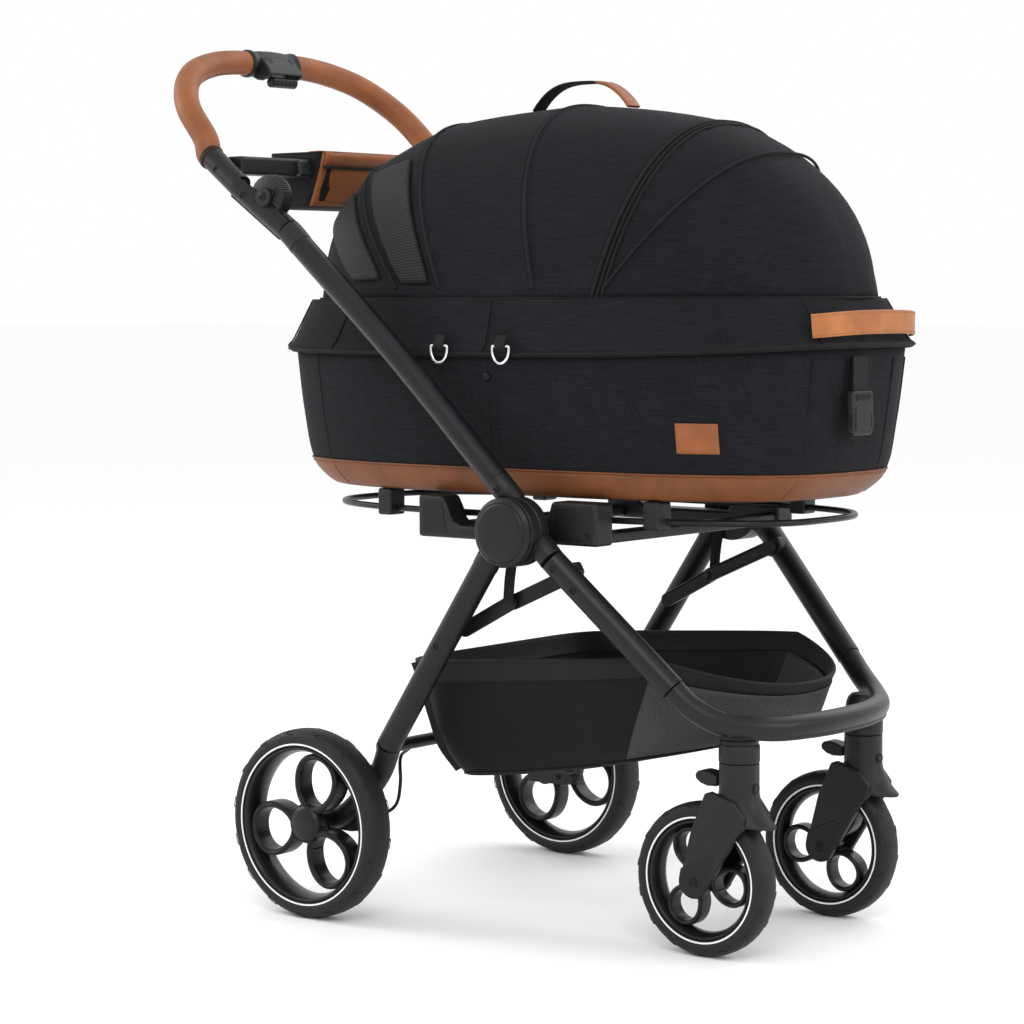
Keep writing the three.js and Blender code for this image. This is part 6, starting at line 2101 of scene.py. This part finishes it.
# Rings. Two bright wire D-rings hang from folded webbing tabs on the right of the collar, and
# swing freely in them.
bright = grained("bright_wire", (0.72, 0.73, 0.75), 0.22, 0.08, 700, metallic=1.0, mottle=0.05)
for name, x in (("front", 0.266), ("rear", 0.172)):
    ring_y, top_line = -0.2162, 0.708
    path = [
        at(
            x + 0.0125 * math.cos(math.pi * k / 14), ring_y,
            top_line - 0.003 - 0.017 * math.sin(math.pi * k / 14)
        )
        for k in range(15)
    ]
    path += [
        at(x - 0.0118, ring_y, top_line), at(x - 0.006, ring_y, top_line + 0.0004),
        at(x + 0.006, ring_y, top_line + 0.0004), at(x + 0.0118, ring_y, top_line)
    ]
    ring = tube(
        f"wire_ring_{name}", path, 0.0018, bright, f"d_ring_{name}", "bright_wire", per_span=3, sides=16,
        closed=True
    )
    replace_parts(ring, f"d_ring_{name}")
    tab = [
        at(x, y, z) for y,
        z in ((-0.2125, 0.721), (-0.2165, 0.714), (-0.2188, 0.7085), (-0.2165, 0.705), (-0.2128, 0.7025))
    ]
    swept(
        f"ring_tab_{name}", smooth_path(tab, 6), rounded_section(0.0014, 0.015, 0.0005), webbing, "carrier",
        "black_fabric", up=(1, 0, 0)
    )

# Support ring. A black steel wire hoop under the base, held in four moulded blocks, drops into
# the seat frame's cups.
ring_points = oval_ring(carrier_x + 0.003, half_long - 0.074, half_wide - 0.048, 0.505, 3.0, 96)
wire = swept("base_ring", ring_points, circle(0.004, 16), dark_steel, "carrier", "dark_steel", closed=True)
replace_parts(wire, "support_ring")
for i, x in enumerate((carrier_x - 0.19, carrier_x + 0.215)):
    for side, s in sides:
        y = s * (half_wide - 0.048 - 0.008)
        block(
            f"ring_block_{side}_{i}", at(x - 0.011, y - 0.014, 0.4965), at(x + 0.011, y + 0.014, 0.5296),
            moulding, "carrier", "moulded_plastic", 0.003
        )

# Basket. A black cloth tray hangs between the legs from a hemmed webbing rim, with knitted net
# over its front wall inside and out, and a webbing strap sewn up each side.
basket_rear, basket_front = 0.08, 0.568


def basket_ring(level, wall=0.0, count=168):
    half_width = 0.1995 - wall
    x0, x1 = basket_rear + wall, basket_front - wall
    ring = []
    for i in range(count):
        turn = 2 * math.pi * i / count
        c, s = math.cos(turn), math.sin(turn)
        roundness = 0.26 if c < 0 else 0.85
        reach = 0.5 + 0.5 * math.copysign(abs(c) ** roundness, c)
        x = x0 + (x1 - x0) * reach + (1 - level) * (0.04 if c < 0 else -0.014) * abs(c)
        y = math.copysign(half_width * abs(s) ** roundness, s) * (1 - 0.14 * reach) * (0.94 + 0.06 * level)
        bottom = 0.178 + 0.066 * reach**1.6
        top = 0.318 + 0.036 * min(reach, 0.75) - 0.14 * max(0, reach - 0.75)
        ring.append((at(x, y, bottom + (top - bottom) * level), reach))
    return ring


basket_cloth = slub_cloth("basket_cloth", (0.0046, 0.0048, 0.0055), 0.25, 0.55)
levels = [0.0, 0.012, 0.035, 0.07, 0.12, 0.19, 0.27, 0.36, 0.45, 0.55, 0.65, 0.74, 0.82, 0.89, 0.95, 1.0]
tray = []
for level in levels:
    row = []
    pull = 0.034 * (1 - level) ** 5 + 0.007 * math.sin(math.pi * level)
    for p, reach in basket_ring(level):
        middle = Vector((axle_x + 0.32, 0, p.z))
        inward = (middle - p)
        inward.z = 0
        inward.normalize()
        fold = (
            0.0035 * noise.noise(Vector((p.x * 16, p.y * 9, p.z * 5))) * math.sin(math.pi * level) + 0.0018
            * noise.noise(Vector((p.x * 40, p.y * 30, p.z * 12))) * math.sin(math.pi * level)
        )
        row.append(p + inward * (pull + 0.0035 + fold))
    tray.append(row)
floor_rows = []
base_ring = tray[0]
middle = sum(base_ring, Vector()) / len(base_ring)
for k, share in enumerate((0.04, 0.25, 0.5, 0.75, 0.92)):
    floor_rows.append(
        [
            middle.lerp(p, share) + Vector((0, 0, 0.0035 + 0.004 * noise.noise(p * 8 * share)))
            for p in base_ring
        ]
    )
tray_cloth = cloth_skin(
    "basket_tray", floor_rows + tray, basket_cloth, "frame", "mesh_fabric", wall=0.0022, crease=0.0008,
    seed=9
)
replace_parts(tray_cloth, "basket")
basket_parts = [tray_cloth]
hem_cloth = grained("hem_webbing", (0.0062, 0.0064, 0.0074), 0.7, 1.0, 1800)


def on_tray(index, level, offset):
    """A point just outside the tray at a ring position and a height."""
    p, _ = basket_ring(level)[index % 168]
    middle = Vector((axle_x + 0.32, 0, p.z))
    out = p - middle
    out.z = 0
    pull = 0.034 * (1 - level) ** 5 + 0.007 * math.sin(math.pi * level)
    return p + out.normalized() * (offset - pull - 0.0035)




def on_tray_at(index, level, offset):
    """The same between two ring positions."""
    low = math.floor(index)
    return on_tray(low, level, offset).lerp(on_tray(low + 1, level, offset), index - low)


hem_rings = [
    [on_tray(i, level, 0.0016 - (0.001 if level in (0.815, 1.0) else 0)) for i in range(168)]
    for level in (0.815, 0.83, 0.9, 0.97, 1.0)
]
hem = cloth_skin("basket_hem", hem_rings, hem_cloth, "frame", "black_fabric", wall=0.005, crease=0)
basket_parts.append(hem)
cord_line = [on_tray(i, 1.0, -0.001) for i in range(0, 168, 2)]
basket_parts.append(
    swept("basket_rim_cord", cord_line, circle(0.0026, 10), hem_cloth, "frame", "black_fabric", closed=True)
)
seam_line = [on_tray(i, 0.815, 0.0008) for i in range(0, 168, 2)]
basket_parts.append(
    swept(
        "basket_hem_edge", seam_line, circle(0.001, 8), black_thread, "frame", "black_fabric", closed=True
    )
)
base_line = [on_tray(i, 0.02, 0.0006) for i in range(0, 168, 2)]
basket_parts.append(
    swept(
        "basket_base_piping", base_line, circle(0.0018, 8), hem_cloth, "frame", "black_fabric", closed=True
    )
)
front_net = net_cloth("front_net", (0.02, 0.0206, 0.022), (0.07, 0.071, 0.075), 0.0028, 0.4)
for face, offset in (("outer", 0.0034), ("inner", -0.0062)):
    net_rows = []
    for k in range(12):
        level = 0.05 + 0.765 * k / 11
        spread = 30 + 4 * (1 - k / 11)
        net_rows.append([on_tray_at(spread * (i / 28), level, offset) for i in range(-28, 29)])
    net = cloth_skin(
        f"basket_front_net_{face}", net_rows, front_net, "frame", "mesh_fabric", wall=0.001, crease=0,
        closed=False
    )
    basket_parts.append(net)
for side, index in (("right", -62), ("left", 62)):
    strip = [on_tray(index, level, 0.002) for level in (0.05, 0.25, 0.5, 0.8, 0.99)]
    piece = swept(
        f"basket_clip_strap_{side}", smooth_path(strip, 5), rounded_section(0.0016, 0.018, 0.0006), webbing,
        "frame", "black_fabric", up=(1, 0, 0)
    )
    basket_parts.append(piece)
for part in basket_parts:
    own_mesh(part)
